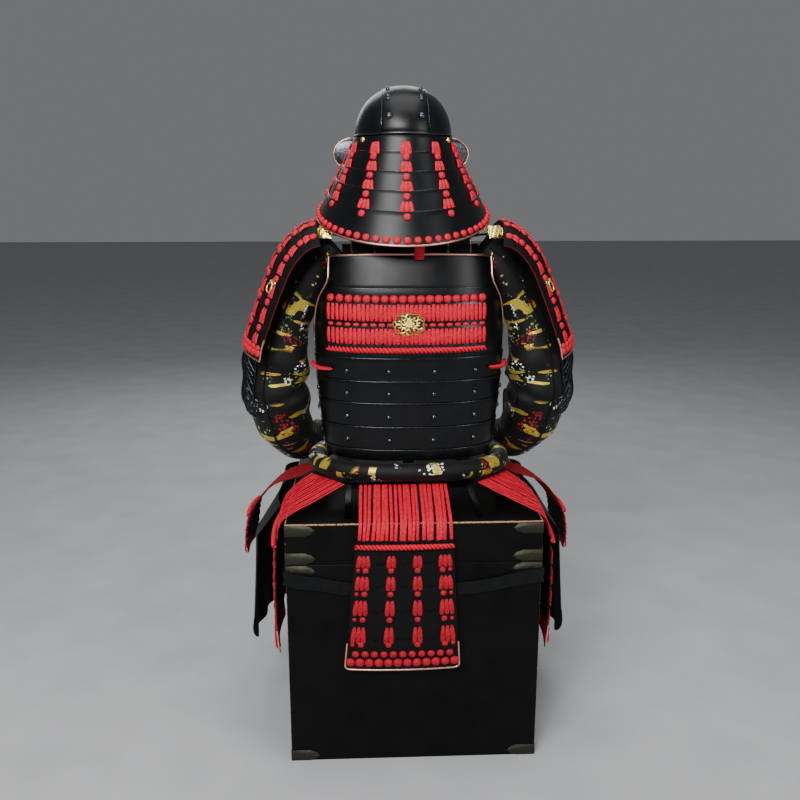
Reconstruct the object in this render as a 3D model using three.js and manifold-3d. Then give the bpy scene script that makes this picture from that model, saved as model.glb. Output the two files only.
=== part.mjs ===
// Samurai armour displayed on its storage box. Millimetres, +Z up, the wearer faces -Y, and the
// wearer's left is +X. The origin is the centre of the box's underside.
import * as THREE from 'three';
import { mergeVertices } from 'three/addons/utils/BufferGeometryUtils.js';
import Module from 'manifold-3d';

const wasm = await Module();
wasm.setup();

// ---- driving dimensions -------------------------------------------------------------------------
const GAP = 0.5; // clearance where two pieces meet
const PLATE = 2; // lacquered plate wall
const CLOTH = 2; // brocade and cotton wall

const BOX = { width: 510, depth: 480, seam: 441, height: 526, board: 12 };
const STAND = { gauge: 132, bar: 12, thick: 5, post: 24, shoulder: 1004, neck: 1268, head: 1334 };
const BOWL = { halfWidth: 98, halfDepth: 113, centreX: 12, centreY: -5, rim: 1266, top: 1361, hole: 0.02 };
const NECK = { halfWidth: 101, halfDepth: 114, flareX: 68, flareY: 60, drop: 206, reach: 118 };
const NECK_STEPS = [0.005, 0.15, 0.33, 0.505, 0.69, 1.0];
const LAME = { wall: 1.5, step: 2.3, overlap: 0.03 };
const DOU = { bottom: 613, waist: 837, chest: 970, backTop: 1031, frontTop: 972, power: 2.5 };
const ROLL = { a: 201, b: 138, z: 591, radius: 19, power: 2.3 };
const SODE = { halfWidth: 130, curve: 207 };
const RING = { along: 0.5, across: 0.86, radius: 11, wire: 1.5, eye: 3.6 };

const STEEL = { color: 0x101114, roughness: 0.35, metalness: 0.3 };
const LACQUER = { color: 0x0c0d0f, roughness: 0.5, metalness: 0.1 };
const SILK = { color: 0xb8202c, roughness: 0.8, metalness: 0 };
const BROCADE = { color: 0x14130f, roughness: 0.75, metalness: 0 };
const COTTON = { color: 0x0b0c0e, roughness: 0.9, metalness: 0 };
const GILT = { color: 0xe0c050, roughness: 0.3, metalness: 0.9 };

const part = new THREE.Group();

// ---- helpers ------------------------------------------------------------------------------------
const point = (x, y, z) => new THREE.Vector3(x, y, z);
const mix = (a, b, t) => a + (b - a) * t;
const power = (value, exponent) => Math.sign(value) * Math.abs(value) ** exponent;
const curveOf = (rows) => {
  const curve = new THREE.CatmullRomCurve3(rows.map((row) => point(...row)), false, 'catmullrom', 0.5);
  return (t) => curve.getPoint(Math.min(Math.max(t, 0), 1));
};

// Straight-line table lookup, for the widths that change with height.
function lookup(rows, at) {
  if (at <= rows[0][0]) return rows[0][1];
  for (let i = 1; i < rows.length; i += 1) {
    const [a, b] = [rows[i - 1], rows[i]];
    if (at <= b[0]) return mix(a[1], b[1], (at - a[0]) / (b[0] - a[0]));
  }
  return rows[rows.length - 1][1];
}

function add(name, geometry, finish) {
  const mesh = new THREE.Mesh(geometry, new THREE.MeshStandardMaterial(finish));
  mesh.name = name;
  part.add(mesh);
  return mesh;
}

function closedBody(vertices, faces) {
  let volume = 0;
  const [a, b, c] = [point(), point(), point()];
  for (let i = 0; i < faces.length; i += 3) {
    a.fromArray(vertices, faces[i] * 3);
    b.fromArray(vertices, faces[i + 1] * 3);
    c.fromArray(vertices, faces[i + 2] * 3);
    volume += a.dot(b.cross(c));
  }
  const geometry = new THREE.BufferGeometry();
  geometry.setAttribute('position', new THREE.Float32BufferAttribute(vertices, 3));
  geometry.setIndex(volume < 0 ? faces.reverse() : faces);
  return geometry;
}

// A wall under the outer face surface(u, v), both from 0 to 1, that is thick towards `centre`.
function wall(surface, nu, nv, thick, centre, closed = false) {
  const step = 1e-4;
  const normal = (u, v) => {
    const along = surface(Math.min(u + step, 1), v).sub(surface(Math.max(u - step, 0), v));
    const down = surface(u, Math.min(v + step, 1)).sub(surface(u, Math.max(v - step, 0)));
    return along.cross(down).normalize();
  };
  const side = Math.sign(normal(0.5, 0.5).dot(surface(0.5, 0.5).sub(centre)));
  const columns = closed ? nu : nu + 1;
  const vertices = [];
  for (const depth of [0, thick]) {
    for (let j = 0; j <= nv; j += 1) {
      for (let i = 0; i < columns; i += 1) {
        const [u, v] = [i / nu, j / nv];
        vertices.push(...surface(u, v).addScaledVector(normal(u, v), -side * depth).toArray());
      }
    }
  }
  const layer = columns * (nv + 1);
  const at = (i, j, k) => k * layer + j * columns + (i % columns);
  const faces = [];
  const quad = (a, b, c, d) => faces.push(a, b, c, a, c, d);
  for (let i = 0; i < nu; i += 1) {
    for (let j = 0; j < nv; j += 1) {
      quad(at(i, j, 0), at(i, j + 1, 0), at(i + 1, j + 1, 0), at(i + 1, j, 0));
      quad(at(i, j, 1), at(i + 1, j, 1), at(i + 1, j + 1, 1), at(i, j + 1, 1));
    }
    quad(at(i, 0, 0), at(i + 1, 0, 0), at(i + 1, 0, 1), at(i, 0, 1));
    quad(at(i, nv, 0), at(i, nv, 1), at(i + 1, nv, 1), at(i + 1, nv, 0));
  }
  for (let j = 0; j < nv && !closed; j += 1) {
    quad(at(0, j, 0), at(0, j, 1), at(0, j + 1, 1), at(0, j + 1, 0));
    quad(at(nu, j, 0), at(nu, j + 1, 0), at(nu, j + 1, 1), at(nu, j, 1));
  }
  return closedBody(vertices, faces);
}

// The same surface on the wearer's other side.
const mirrored = (surface) => (u, v) => surface(u, v).multiply(point(-1, 1, 1));
const SIDES = [['left', (surface) => surface, 1], ['right', mirrored, -1]];

function block(lo, hi) {
  const [low, high] = [point(...lo), point(...hi)];
  const size = high.clone().sub(low);
  const middle = low.add(high).multiplyScalar(0.5);
  return new THREE.BoxGeometry(...size.toArray()).translate(...middle.toArray());
}

function manifold(geometry) {
  const bare = geometry.clone();
  bare.deleteAttribute('normal');
  bare.deleteAttribute('uv');
  const merged = mergeVertices(bare);
  return new wasm.Manifold(new wasm.Mesh({
    numProp: 3,
    vertProperties: new Float32Array(merged.attributes.position.array),
    triVerts: new Uint32Array(merged.index.array),
  }));
}

function geometryOf(body) {
  const mesh = body.getMesh();
  return closedBody(Array.from(mesh.vertProperties), Array.from(mesh.triVerts));
}

const joined = (...pieces) => geometryOf(pieces.map(manifold).reduce((a, b) => a.add(b)));
const cut = (whole, ...tools) =>
  geometryOf(tools.map(manifold).reduce((a, b) => a.subtract(b), manifold(whole)));

// A round cord along a route, with flat ends.
function cord(route, radius, steps, sides = 8) {
  const shape = new THREE.Shape();
  shape.absarc(0, 0, radius, 0, Math.PI * 2, false);
  const path = new THREE.CatmullRomCurve3(route.map((row) => point(...row)));
  const tube = new THREE.ExtrudeGeometry(shape, { steps, extrudePath: path, curveSegments: sides / 2 });
  return geometryOf(manifold(tube));
}

// ---- storage box --------------------------------------------------------------------------------
function storageBox() {
  const [x, y, t] = [BOX.width / 2, BOX.depth / 2, BOX.board];
  const body = cut(
    block([-x, -y, 0], [x, y, BOX.seam - GAP]),
    block([t - x, t - y, t], [x - t, y - t, BOX.seam + t]),
  );
  const lid = cut(
    block([-x, -y, BOX.seam], [x, y, BOX.height]),
    block([t - x, t - y, BOX.seam - t], [x - t, y - t, BOX.height - t]),
  );
  add('box_body', body, LACQUER);
  add('box_lid', lid, LACQUER);
}

// ---- display stand ------------------------------------------------------------------------------
function stand() {
  const { gauge, bar, thick, post, shoulder, neck, head } = STAND;
  const foot = BOX.height + GAP;
  const runner = (x) => block([x - bar / 2, -150, foot], [x + bar / 2, 213, foot + thick]);
  const tie = block([-gauge, -18, foot], [gauge, 18, foot + thick + 3]);
  add('stand_base', joined(runner(gauge), runner(-gauge), tie), STEEL);
  const p = post / 2;
  const upright = block([-p, -p, foot + thick + 3 + GAP], [p, p, neck]);
  const yoke = block([-118, -14, shoulder], [118, 14, shoulder + 22]);
  add('stand_frame', joined(upright, yoke), LACQUER);
  const profile = [];
  profile.push(new THREE.Vector2(0, neck + GAP), new THREE.Vector2(58, neck + GAP));
  for (let i = 0; i <= 5; i += 1) {
    const angle = (i / 5) * Math.PI / 2;
    const across = i === 5 ? 0 : 64 * Math.cos(angle) ** 0.6;
    profile.push(new THREE.Vector2(across, mix(neck + 14, head, Math.sin(angle))));
  }
  const block1 = new THREE.LatheGeometry(profile, 16).rotateX(Math.PI / 2);
  add('stand_head', geometryOf(manifold(block1)), COTTON);
}

// ---- helmet -------------------------------------------------------------------------------------
function helmetBowl(u, v) {
  const turn = u * Math.PI * 2;
  const rise = v * (Math.PI / 2) * (1 - BOWL.hole);
  const in_ = Math.cos(rise) ** 0.86;
  return point(
    BOWL.centreX + BOWL.halfWidth * in_ * Math.cos(turn),
    BOWL.centreY + BOWL.halfDepth * in_ * Math.sin(turn),
    mix(BOWL.rim, BOWL.top, Math.sin(rise)),
  );
}

// The neck guard: `turn` in degrees from straight behind, `t` from the bowl's rim to the last edge.
function neckGuard(turn, t, proud) {
  const a = THREE.MathUtils.degToRad(turn);
  const shorter = 1 - 0.26 * (1 - Math.cos(a));
  return point(
    BOWL.centreX + (NECK.halfWidth + NECK.flareX * t ** 1.25 + proud) * Math.sin(a),
    BOWL.centreY + (NECK.halfDepth + NECK.flareY * t ** 1.2 + proud) * Math.cos(a),
    BOWL.rim - 3 - NECK.drop * t * shorter,
  );
}

function helmet() {
  const axis = point(BOWL.centreX, 0, 1200);
  add('helmet_bowl', wall(helmetBowl, 28, 6, 2.5, axis, true), LACQUER);
  const peak = (u, v) => {
    const a = THREE.MathUtils.degToRad(mix(124, 236, u));
    return point(
      BOWL.centreX + (NECK.halfWidth + 2 + 10 * v) * Math.sin(a),
      BOWL.centreY + (NECK.halfDepth + 2) * Math.cos(a) - 42 * v * Math.sin(u * Math.PI),
      BOWL.rim - 3 - 18 * v,
    );
  };
  add('helmet_visor', wall(peak, 12, 2, PLATE, axis), LACQUER);
  for (let i = 1; i <= 5; i += 1) {
    const [from, to] = [NECK_STEPS[i - 1], NECK_STEPS[i] + (i < 5 ? LAME.overlap : 0)];
    const lame = (u, v) => neckGuard(NECK.reach * (1 - 2 * u), mix(from, to, v), LAME.step * (i - 1));
    add(`neck_lame_${i}`, wall(lame, 24, 1, LAME.wall, axis), LACQUER);
  }
  for (const [side, , sign] of SIDES) {
    const ear = (u, v) => {
      const width = 44 * Math.sqrt(Math.max(0.02, 1 - (2 * v - 1) ** 2 * 0.96));
      return point(BOWL.centreX + sign * (100 + width * u), -79 - 8 * u, mix(1264, 1198, v) + 4 * u);
    };
    add(`turnback_${side}`, wall(ear, 3, 8, LAME.wall, point(0, -300, 1230)), STEEL);
  }
}

// ---- cuirass ------------------------------------------------------------------------------------
const DOU_WIDTH = [
  [600, 176], [613, 179], [646, 185], [750, 195],
  [830, 200], [890, 200], [970, 193], [1040, 180],
];
const DOU_BACK = [[600, 110], [613, 112], [750, 118], [870, 122], [970, 117], [1040, 101]];
const DOU_FRONT = [[600, 116], [613, 118], [750, 126], [850, 130], [930, 124], [980, 112]];
const BACK_EDGE = [
  [872, 200], [890, 199], [906, 197], [926, 194], [949, 187],
  [965, 178], [978, 170], [990, 167], [1040, 165],
];
const FRONT_EDGE = [[850, 200], [862, 196], [880, 184], [905, 160], [935, 138], [980, 124]];

// A point on the cuirass: u from the wearer's left to right round the back or the front.
function cuirass(u, z, back, proud = 0) {
  const a = lookup(DOU_WIDTH, z);
  const b = lookup(back ? DOU_BACK : DOU_FRONT, z);
  const edge = Math.min(lookup(back ? BACK_EDGE : FRONT_EDGE, z), a - 0.02);
  const start = Math.max(Math.acos((edge / a) ** (DOU.power / 2)), 0.018);
  const turn = mix(start, Math.PI - start, u);
  return point(
    (a + proud) * power(Math.cos(turn), 2 / DOU.power),
    (back ? 1 : -1) * (b + proud) * power(Math.sin(turn), 2 / DOU.power),
    z,
  );
}

function breastAndBack() {
  const axis = point(0, 0, 800);
  const levels = [['waist', DOU.bottom, DOU.waist, 3], ['laced', DOU.waist + GAP, DOU.chest, 5]];
  for (const [half, back] of [['back', true], ['front', false]]) {
    for (const [name, low, high, rows] of levels) {
      const top = back ? high : Math.min(high, 915);
      const face = (u, v) => cuirass(u, mix(low, top, v), back);
      add(`${half}_${name}_plate`, wall(face, 22, rows, PLATE, axis), LACQUER);
    }
    const low = back ? DOU.chest + GAP : 915 + GAP;
    const high = back ? DOU.backTop : DOU.frontTop;
    const face = (u, v) => {
      const spot = cuirass(u, mix(low, high, v), back);
      spot.z += (back ? 6 : -14) * v * Math.sin(u * Math.PI);
      return spot;
    };
    add(`${half}_top_plate`, wall(face, 16, 2, PLATE, axis), LACQUER);
  }
}

const STRAP_PATH = curveOf([
  [95, 101, 1041], [97, 84, 1056], [99, 50, 1068], [100, 10, 1070], [98, -40, 1062],
  [96, -78, 1034], [95, -100, 1004], [94, -112, 978],
]);

function shoulderStraps() {
  for (const [side, place] of SIDES) {
    const strap = (u, v) => {
      const spot = STRAP_PATH(v);
      spot.x += 45 * (u - 0.5);
      return spot;
    };
    add(`shoulder_strap_${side}`, wall(place(strap), 3, 12, 3, point(90, 0, 900)), COTTON);
  }
}

function sideTies() {
  for (const [side, , sign] of SIDES) {
    const route = [];
    for (let i = 0; i <= 8; i += 1) {
      const spot = cuirass(mix(0.225, 0.006, i / 8), 806, true, 7);
      route.push([spot.x * sign, spot.y + 1, spot.z - 3 * Math.sin((i / 8) * Math.PI)]);
    }
    add(`side_cord_${side}`, cord(route, 4.5, 16), SILK);
  }
  const tail = [
    [-207, 34, 782], [-212, 40, 772], [-221, 47, 752], [-226, 52, 733], [-221, 52, 719], [-212, 50, 722],
    [-207, 47, 736], [-205, 42, 748], [-203, 36, 738], [-203, 38, 712], [-203, 41, 684], [-201, 42, 660],
  ];
  add('side_tie', cord(tail, 2.4, 26), COTTON);
}

// ---- stuffed waist roll -------------------------------------------------------------------------
function waistRoll() {
  const ring = (u, v) => {
    const [turn, round] = [u * Math.PI * 2, v * Math.PI * 2];
    const out = ROLL.radius * Math.cos(round);
    return point(
      (ROLL.a + out) * power(Math.cos(turn), 2 / ROLL.power),
      (ROLL.b + out) * power(Math.sin(turn), 2 / ROLL.power),
      ROLL.z + 5 * Math.sin(turn) + ROLL.radius * Math.sin(round),
    );
  };
  const [around, section] = [40, 8];
  const vertices = [];
  const faces = [];
  for (let i = 0; i < around; i += 1) {
    for (let j = 0; j < section; j += 1) {
      vertices.push(...ring(i / around, j / section).toArray());
      const [ni, nj] = [(i + 1) % around, (j + 1) % section];
      const [a, b] = [i * section + j, ni * section + j];
      const [c, d] = [ni * section + nj, i * section + nj];
      faces.push(a, b, c, a, c, d);
    }
  }
  add('waist_roll', closedBody(vertices, faces), BROCADE);
}

// ---- skirt of seven tassets ---------------------------------------------------------------------
// Each is two edge routes, from the waist over the lid's edge to the hem. Cords fill the first four
// spans and lacquered lames the rest.
const BACK_TASSET = [
  [[109, 141, 570], [110, 190, 551], [112, 238, 533], [114, 251, 518],
   [117, 252, 490], [126, 254, 380], [141, 257, 221]],
  [[-74, 141, 570], [-75, 190, 551], [-75, 238, 533], [-75, 251, 518],
   [-76, 252, 490], [-82, 254, 380], [-91, 257, 221]],
];
const REAR_TASSET = [
  [[138, 128, 568], [200, 184, 550], [250, 222, 534], [265, 232, 517],
   [270, 233, 484], [275, 228, 380], [274, 214, 236]],
  [[212, 44, 566], [236, 50, 552], [256, 58, 536], [268, 62, 518],
   [273, 63, 484], [279, 60, 380], [278, 50, 236]],
];
const SIDE_TASSET = [
  [[211, 26, 566], [242, 12, 547], [302, -4, 521], [337, -12, 482],
   [354, -22, 446], [366, -36, 396], [368, -46, 345]],
  [[196, -64, 567], [232, -84, 546], [270, -104, 529], [306, -122, 492],
   [341, -136, 448], [352, -150, 398], [358, -160, 345]],
];
const FRONT_TASSET = [
  [[150, -124, 568], [160, -186, 551], [172, -240, 536], [177, -270, 520],
   [181, -280, 486], [187, -282, 380], [198, -284, 250]],
  [[12, -146, 568], [12, -190, 551], [11, -240, 536], [11, -270, 520],
   [10, -280, 486], [8, -282, 380], [6, -284, 250]],
];
const CORD_SHARE = 4 / 6;

function tassetFace([outer, inner], bulge) {
  const [a, b] = [curveOf(outer), curveOf(inner)];
  const raw = (u, v) => a(v).lerp(b(v), u);
  return (u, v) => {
    const spot = raw(u, v);
    const across = a(v).sub(b(v)).normalize();
    const down = raw(u, Math.min(v + 1e-3, 1)).sub(raw(u, Math.max(v - 1e-3, 0))).normalize();
    const out = across.cross(down).normalize();
    if (out.dot(point(spot.x, spot.y, 60)) < 0) out.negate();
    return spot.addScaledVector(out, bulge * v * (1 - (2 * u - 1) ** 2));
  };
}

function tassets() {
  const all = [['back', BACK_TASSET, (face) => face, 1]];
  for (const [side, place, sign] of SIDES) {
    all.push([`rear_${side}`, REAR_TASSET, place, sign]);
    all.push([`side_${side}`, SIDE_TASSET, place, sign]);
    all.push([`front_${side}`, FRONT_TASSET, place, sign]);
  }
  const inside = point(0, 0, 300);
  for (const [name, edges, place] of all) {
    const face = place(tassetFace(edges, 7));
    const cords = (u, v) => face(u, v * (CORD_SHARE - 0.004));
    const lames = (u, v) => face(u, mix(CORD_SHARE + 0.004, 1, v));
    add(`tasset_cords_${name}`, wall(cords, 4, 9, PLATE, inside), SILK);
    add(`tasset_${name}`, wall(lames, 5, 4, PLATE, inside), LACQUER);
  }
}

// ---- shoulder guards ----------------------------------------------------------------------------
const SODE_PATH = curveOf([
  [190, 0, 1098], [217, 0, 1090], [248, 0, 1066], [274, 0, 1032], [294, 0, 990],
  [311, 0, 949], [328, 0, 903], [341, 0, 868], [347, 0, 838],
]);

function shoulderGuard(u, v, proud = 0) {
  const y = SODE.halfWidth * (2 * u - 1);
  const down = SODE_PATH(Math.min(v + 1e-3, 1)).sub(SODE_PATH(Math.max(v - 1e-3, 0))).normalize();
  const out = point(-down.z, 0, down.x);
  const sag = SODE.curve - Math.sqrt(SODE.curve ** 2 - y ** 2);
  const spot = SODE_PATH(v).addScaledVector(out, proud - sag);
  spot.y = y;
  return spot;
}

// The frame of a ring's eye on a shoulder guard: out of the plate, and up along it.
function ringFrame(sign) {
  const at = shoulderGuard(RING.across, RING.along);
  const up = shoulderGuard(RING.across, RING.along - 0.02).sub(at).normalize();
  const along = shoulderGuard(RING.across + 0.02, RING.along).sub(at).normalize();
  const out = along.clone().cross(up).normalize();
  if (out.x < 0) out.negate();
  for (const axis of [at, up, out]) axis.x *= sign;
  const side = up.clone().cross(out).normalize();
  return new THREE.Matrix4().makeBasis(out, side, up).setPosition(at);
}

function shoulderGuards() {
  for (const [side, place, sign] of SIDES) {
    const face = place((u, v) => shoulderGuard(u, v));
    add(`shoulder_guard_${side}`, wall(face, 8, 12, PLATE, point(150 * sign, 0, 900)), LACQUER);

    // A gilt flower boss with an eye, and the ring that hangs in the eye and lies on the plate.
    const frame = ringFrame(sign);
    const boss = new THREE.CylinderGeometry(9, 11, 2.4, 20).rotateZ(-Math.PI / 2).translate(1.7, 0, 0);
    const eye = new THREE.TorusGeometry(RING.eye, 1, 6, 12).rotateX(Math.PI / 2).translate(5.4, 0, 0);
    add(`ring_mount_${side}`, joined(boss, eye).applyMatrix4(frame), GILT);
    const ring = new THREE.TorusGeometry(RING.radius, RING.wire, 6, 16).rotateY(Math.PI / 2);
    ring.translate(5.6, 0, -RING.radius);
    add(`ring_${side}`, geometryOf(manifold(ring)).applyMatrix4(frame), GILT);

    // The gilt buckle between the strap and the guard's top edge, turned to the back.
    const outline = new THREE.Shape();
    outline.absellipse(0, 0, 14, 15, 0, Math.PI * 2, false);
    const toggle = new THREE.ExtrudeGeometry(outline, { depth: 5, bevelEnabled: false, curveSegments: 8 });
    toggle.rotateX(THREE.MathUtils.degToRad(-60)).rotateZ(-0.2 * sign).translate(171 * sign, 62, 1077);
    add(`clasp_${side}`, geometryOf(manifold(toggle)), GILT);
  }
}

// ---- armoured sleeves ---------------------------------------------------------------------------
// Centre line and radius of the left sleeve, from the armhole to the cuff.
const SLEEVE_ROWS = [
  [150, 4, 1044, 43], [188, 6, 1010, 48], [226, 6, 955, 48], [257, 4, 893, 49], [272, 3, 845, 60],
  [282, 1, 795, 68], [285, -4, 745, 69], [279, -22, 690, 65], [267, -54, 642, 58], [249, -90, 610, 51],
  [225, -126, 594, 45], [202, -156, 592, 40],
];
const HAND_ROWS = [
  [196, -165, 592, 40], [184, -182, 592, 40], [168, -202, 592, 39],
  [152, -222, 590, 36], [138, -240, 586, 32],
];

function limb(rows) {
  const centre = curveOf(rows.map(([x, y, z]) => [x, y, z]));
  const radius = curveOf(rows.map(([, , , r], i) => [r, i, 0]));
  return (turn, v, proud = 0) => {
    const along = centre(v + 1e-3).sub(centre(v - 1e-3)).normalize();
    const back = point(0, 1, 0).addScaledVector(along, -along.y).normalize();
    const out = along.clone().cross(back).normalize();
    const fold = 1 + 0.025 * Math.sin(v * 46 + 1.6 * Math.sin(turn)) * Math.sin(Math.PI * v);
    const r = radius(v).x * fold + proud;
    return centre(v).addScaledVector(out, r * Math.cos(turn)).addScaledVector(back, r * Math.sin(turn));
  };
}
const sleeve = limb(SLEEVE_ROWS);
const hand = limb(HAND_ROWS);

// The black cloth yoke that joins the two sleeves behind the neck, under the shoulder straps.
function sleeveYoke() {
  const yoke = (u, v) => {
    const x = mix(138, -138, u);
    return point(x, 60 - 3 * (x / 138) ** 2, mix(1055, 1004, v));
  };
  add('sleeve_yoke', wall(yoke, 12, 2, CLOTH, point(0, -400, 1030)), COTTON);
}

function sleeves() {
  for (const [side, place, sign] of SIDES) {
    const tube = place((u, v) => sleeve(u * Math.PI * 2, v));
    add(`sleeve_${side}`, wall(tube, 14, 18, CLOTH, point(285 * sign, 0, 770), true), BROCADE);
    const mail = place((u, v) => sleeve(mix(-1.2, 0.95, u), mix(0.39, 0.6, v), 4.4));
    add(`elbow_mail_${side}`, wall(mail, 8, 4, 1.6, point(285 * sign, 0, 780)), STEEL);
    const guard = place((u, v) => hand(mix(-0.9, 1.6, u), v, 3));
    add(`hand_guard_${side}`, wall(guard, 8, 3, PLATE, point(168 * sign, -202, 578)), LACQUER);
  }
}

// ---- thigh guards and their tie -----------------------------------------------------------------
const THIGH_PLAN = curveOf([
  [8, -262, 0], [90, -266, 0], [180, -266, 0], [256, -255, 0], [303, -219, 0],
  [328, -155, 0], [340, -80, 0], [342, -5, 0], [330, 52, 0],
]);

function thighGuard(u, v) {
  const spot = THIGH_PLAN(u);
  const along = THIGH_PLAN(u + 1e-3).sub(THIGH_PLAN(u - 1e-3)).normalize();
  const out = point(-along.y, along.x, 0).negate();
  const aside = THREE.MathUtils.smoothstep(u, 0.42, 0.66);
  const top = mix(500, 494, aside);
  const hem = 150 + 85 * Math.max(0, (u - 0.8) / 0.2) ** 3;
  const low = v ** 1.2;
  const lean = 50 * aside * Math.max(0, 1 - v / 0.25); // drawn in under the side tasset
  spot.addScaledVector(out, 12 * low + 6 * low * Math.sin(u * 34) - lean);
  spot.z = mix(top, hem, v);
  return spot;
}

// The tie runs along the box's sides and sags across its back.
const TIE_PLAN = curveOf([
  [262, -150, 434], [262, -30, 430], [261, 120, 420], [260, 222, 413], [252, 246, 412],
  [190, 247, 402], [120, 247, 390], [0, 247, 386],
]);

function tieBand(u, v) {
  const half = u <= 0.5;
  const t = half ? u * 2 : 2 - u * 2;
  const spot = TIE_PLAN(t);
  if (!half) spot.x *= -1;
  spot.z += mix(18, 12, t) * (1 - 2 * v);
  return spot;
}

function thighGuards() {
  for (const [side, place, sign] of SIDES) {
    add(`thigh_guard_${side}`, wall(place(thighGuard), 24, 4, CLOTH, point(60 * sign, 0, 300)), COTTON);
  }
  add('thigh_guard_tie', wall(tieBand, 32, 1, 1.5, point(0, 0, 400)), COTTON);
}

// ---- gilt boss on the back ----------------------------------------------------------------------
function backOrnament() {
  const outline = new THREE.Shape();
  const lobes = 44;
  for (let i = 0; i <= lobes; i += 1) {
    const turn = (i / lobes) * Math.PI * 2;
    const wave = 1 + 0.07 * Math.cos(turn * 11);
    const [x, y] = [32 * power(Math.cos(turn), 0.8) * wave, 21.5 * power(Math.sin(turn), 0.8) * wave];
    if (i === 0) outline.moveTo(x, y);
    else if (i < lobes) outline.lineTo(x, y);
  }
  outline.closePath();
  const plate = new THREE.ExtrudeGeometry(outline, { depth: 6, bevelEnabled: false });
  plate.rotateX(Math.PI / 2).translate(6, 131, 901);
  add('back_ornament', geometryOf(manifold(plate)), GILT);
}

storageBox();
stand();
helmet();
breastAndBack();
shoulderStraps();
sideTies();
waistRoll();
tassets();
shoulderGuards();
sleeveYoke();
sleeves();
thighGuards();
backOrnament();

export default part;
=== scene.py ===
import math
import random

import bpy
import numpy as np
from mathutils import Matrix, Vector


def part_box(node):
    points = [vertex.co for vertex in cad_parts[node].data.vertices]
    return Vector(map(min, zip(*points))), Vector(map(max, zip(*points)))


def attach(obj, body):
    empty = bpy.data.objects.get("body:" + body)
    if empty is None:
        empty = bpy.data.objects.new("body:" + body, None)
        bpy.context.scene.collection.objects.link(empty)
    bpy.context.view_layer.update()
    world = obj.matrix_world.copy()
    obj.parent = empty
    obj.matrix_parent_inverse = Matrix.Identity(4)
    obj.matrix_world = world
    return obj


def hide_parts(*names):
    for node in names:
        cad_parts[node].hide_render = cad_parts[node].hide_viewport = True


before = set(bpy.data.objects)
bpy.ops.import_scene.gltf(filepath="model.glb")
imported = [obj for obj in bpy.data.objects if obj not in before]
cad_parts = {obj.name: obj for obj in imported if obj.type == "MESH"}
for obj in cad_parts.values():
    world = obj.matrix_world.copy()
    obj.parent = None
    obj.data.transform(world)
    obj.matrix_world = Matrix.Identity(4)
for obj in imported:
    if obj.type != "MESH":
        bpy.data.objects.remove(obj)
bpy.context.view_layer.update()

random.seed(11)
MM = 0.001

# ---- camera, light and floor ---------------------------------------------------------------------
CAMERA_PLACE = (0.097, 1.80, 1.152)
CAMERA_DOWN = math.radians(13.6)
CAMERA_TURN = math.radians(2.5)
CAMERA_LENS = 38.25


def hex_colour(code):
    """sRGB hex to the linear colour that a shader takes."""
    channels = [int(code[i:i + 2], 16) / 255 for i in (1, 3, 5)]
    curved = [c / 12.92 if c <= 0.04045 else ((c + 0.055) / 1.055) ** 2.4 for c in channels]
    return (*curved, 1.0)


def aim_camera():
    bpy.ops.object.camera_add(location=CAMERA_PLACE)
    camera = bpy.context.object
    camera.name = "main_camera"
    camera.rotation_euler = (math.pi / 2 - CAMERA_DOWN, 0, math.pi - CAMERA_TURN)
    camera.data.lens = CAMERA_LENS
    camera.data.sensor_width = 36
    camera.data.clip_end = 60
    bpy.context.scene.camera = camera


def soft_light(name, place, size, watts):
    bpy.ops.object.light_add(type="AREA", location=place)
    lamp = bpy.context.object
    lamp.name = name
    lamp.data.shape = "RECTANGLE"
    lamp.data.size, lamp.data.size_y = size
    lamp.data.energy = watts
    aim = Vector((0, 0, 0.75)) - Vector(place)
    lamp.rotation_euler = aim.to_track_quat("-Z", "Y").to_euler()


def studio():
    soft_light("key_softbox", (1.3, 2.4, 2.5), (1.2, 1.2), 74)
    soft_light("fill_softbox", (-2.2, 2.2, 1.7), (1.0, 1.8), 34)
    soft_light("back_softbox", (0.5, 2.6, 2.25), (1.1, 0.6), 56)
    soft_light("front_softbox", (0.4, -2.8, 2.6), (2.0, 2.0), 36)
    soft_light("top_softbox", (0.0, 0.4, 3.4), (2.2, 2.2), 46)
    world = bpy.data.worlds.new("studio_world")
    world.use_nodes = True
    sky = world.node_tree.nodes["Background"].inputs
    sky["Color"].default_value = hex_colour("#D4D6D9")
    sky["Strength"].default_value = 0.25
    bpy.context.scene.world = world


# ---- materials -----------------------------------------------------------------------------------
def put(tree, kind, wires=None, **settings):
    """Adds one node: settings are its own fields, wires its sockets' values or the outputs they take."""
    node = tree.nodes.new(kind)
    for field, value in settings.items():
        setattr(node, field, value)
    for socket, value in (wires or {}).items():
        target = node.inputs[socket]
        if isinstance(value, bpy.types.NodeSocket):
            tree.links.new(value, target)
        else:
            target.default_value = value
    return node


def new_finish(name, metallic=0.0, ior=1.5, **sockets):
    """A material with a Principled shader, and its node tree."""
    finish = bpy.data.materials.new(name)
    finish.use_nodes = True
    tree = finish.node_tree
    shader = tree.nodes["Principled BSDF"]
    shader.inputs["Metallic"].default_value = metallic
    shader.inputs["IOR"].default_value = ior
    for socket, value in sockets.items():
        shader.inputs[socket.replace("_", " ")].default_value = value
    return finish, tree, shader


def object_place(tree, per_metre, stretch=(1, 1, 1)):
    spot = put(tree, "ShaderNodeTexCoord").outputs["Object"]
    scale = tuple(per_metre * s for s in stretch)
    return put(tree, "ShaderNodeMapping", {"Vector": spot, "Scale": scale}).outputs["Vector"]


def ramp(tree, value, stops):
    node = put(tree, "ShaderNodeValToRGB", {"Fac": value})
    while len(node.color_ramp.elements) < len(stops):
        node.color_ramp.elements.new(0.5)
    for element, (at, colour) in zip(node.color_ramp.elements, stops):
        element.position = at
        element.color = hex_colour(colour)
    return node.outputs["Color"]


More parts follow.
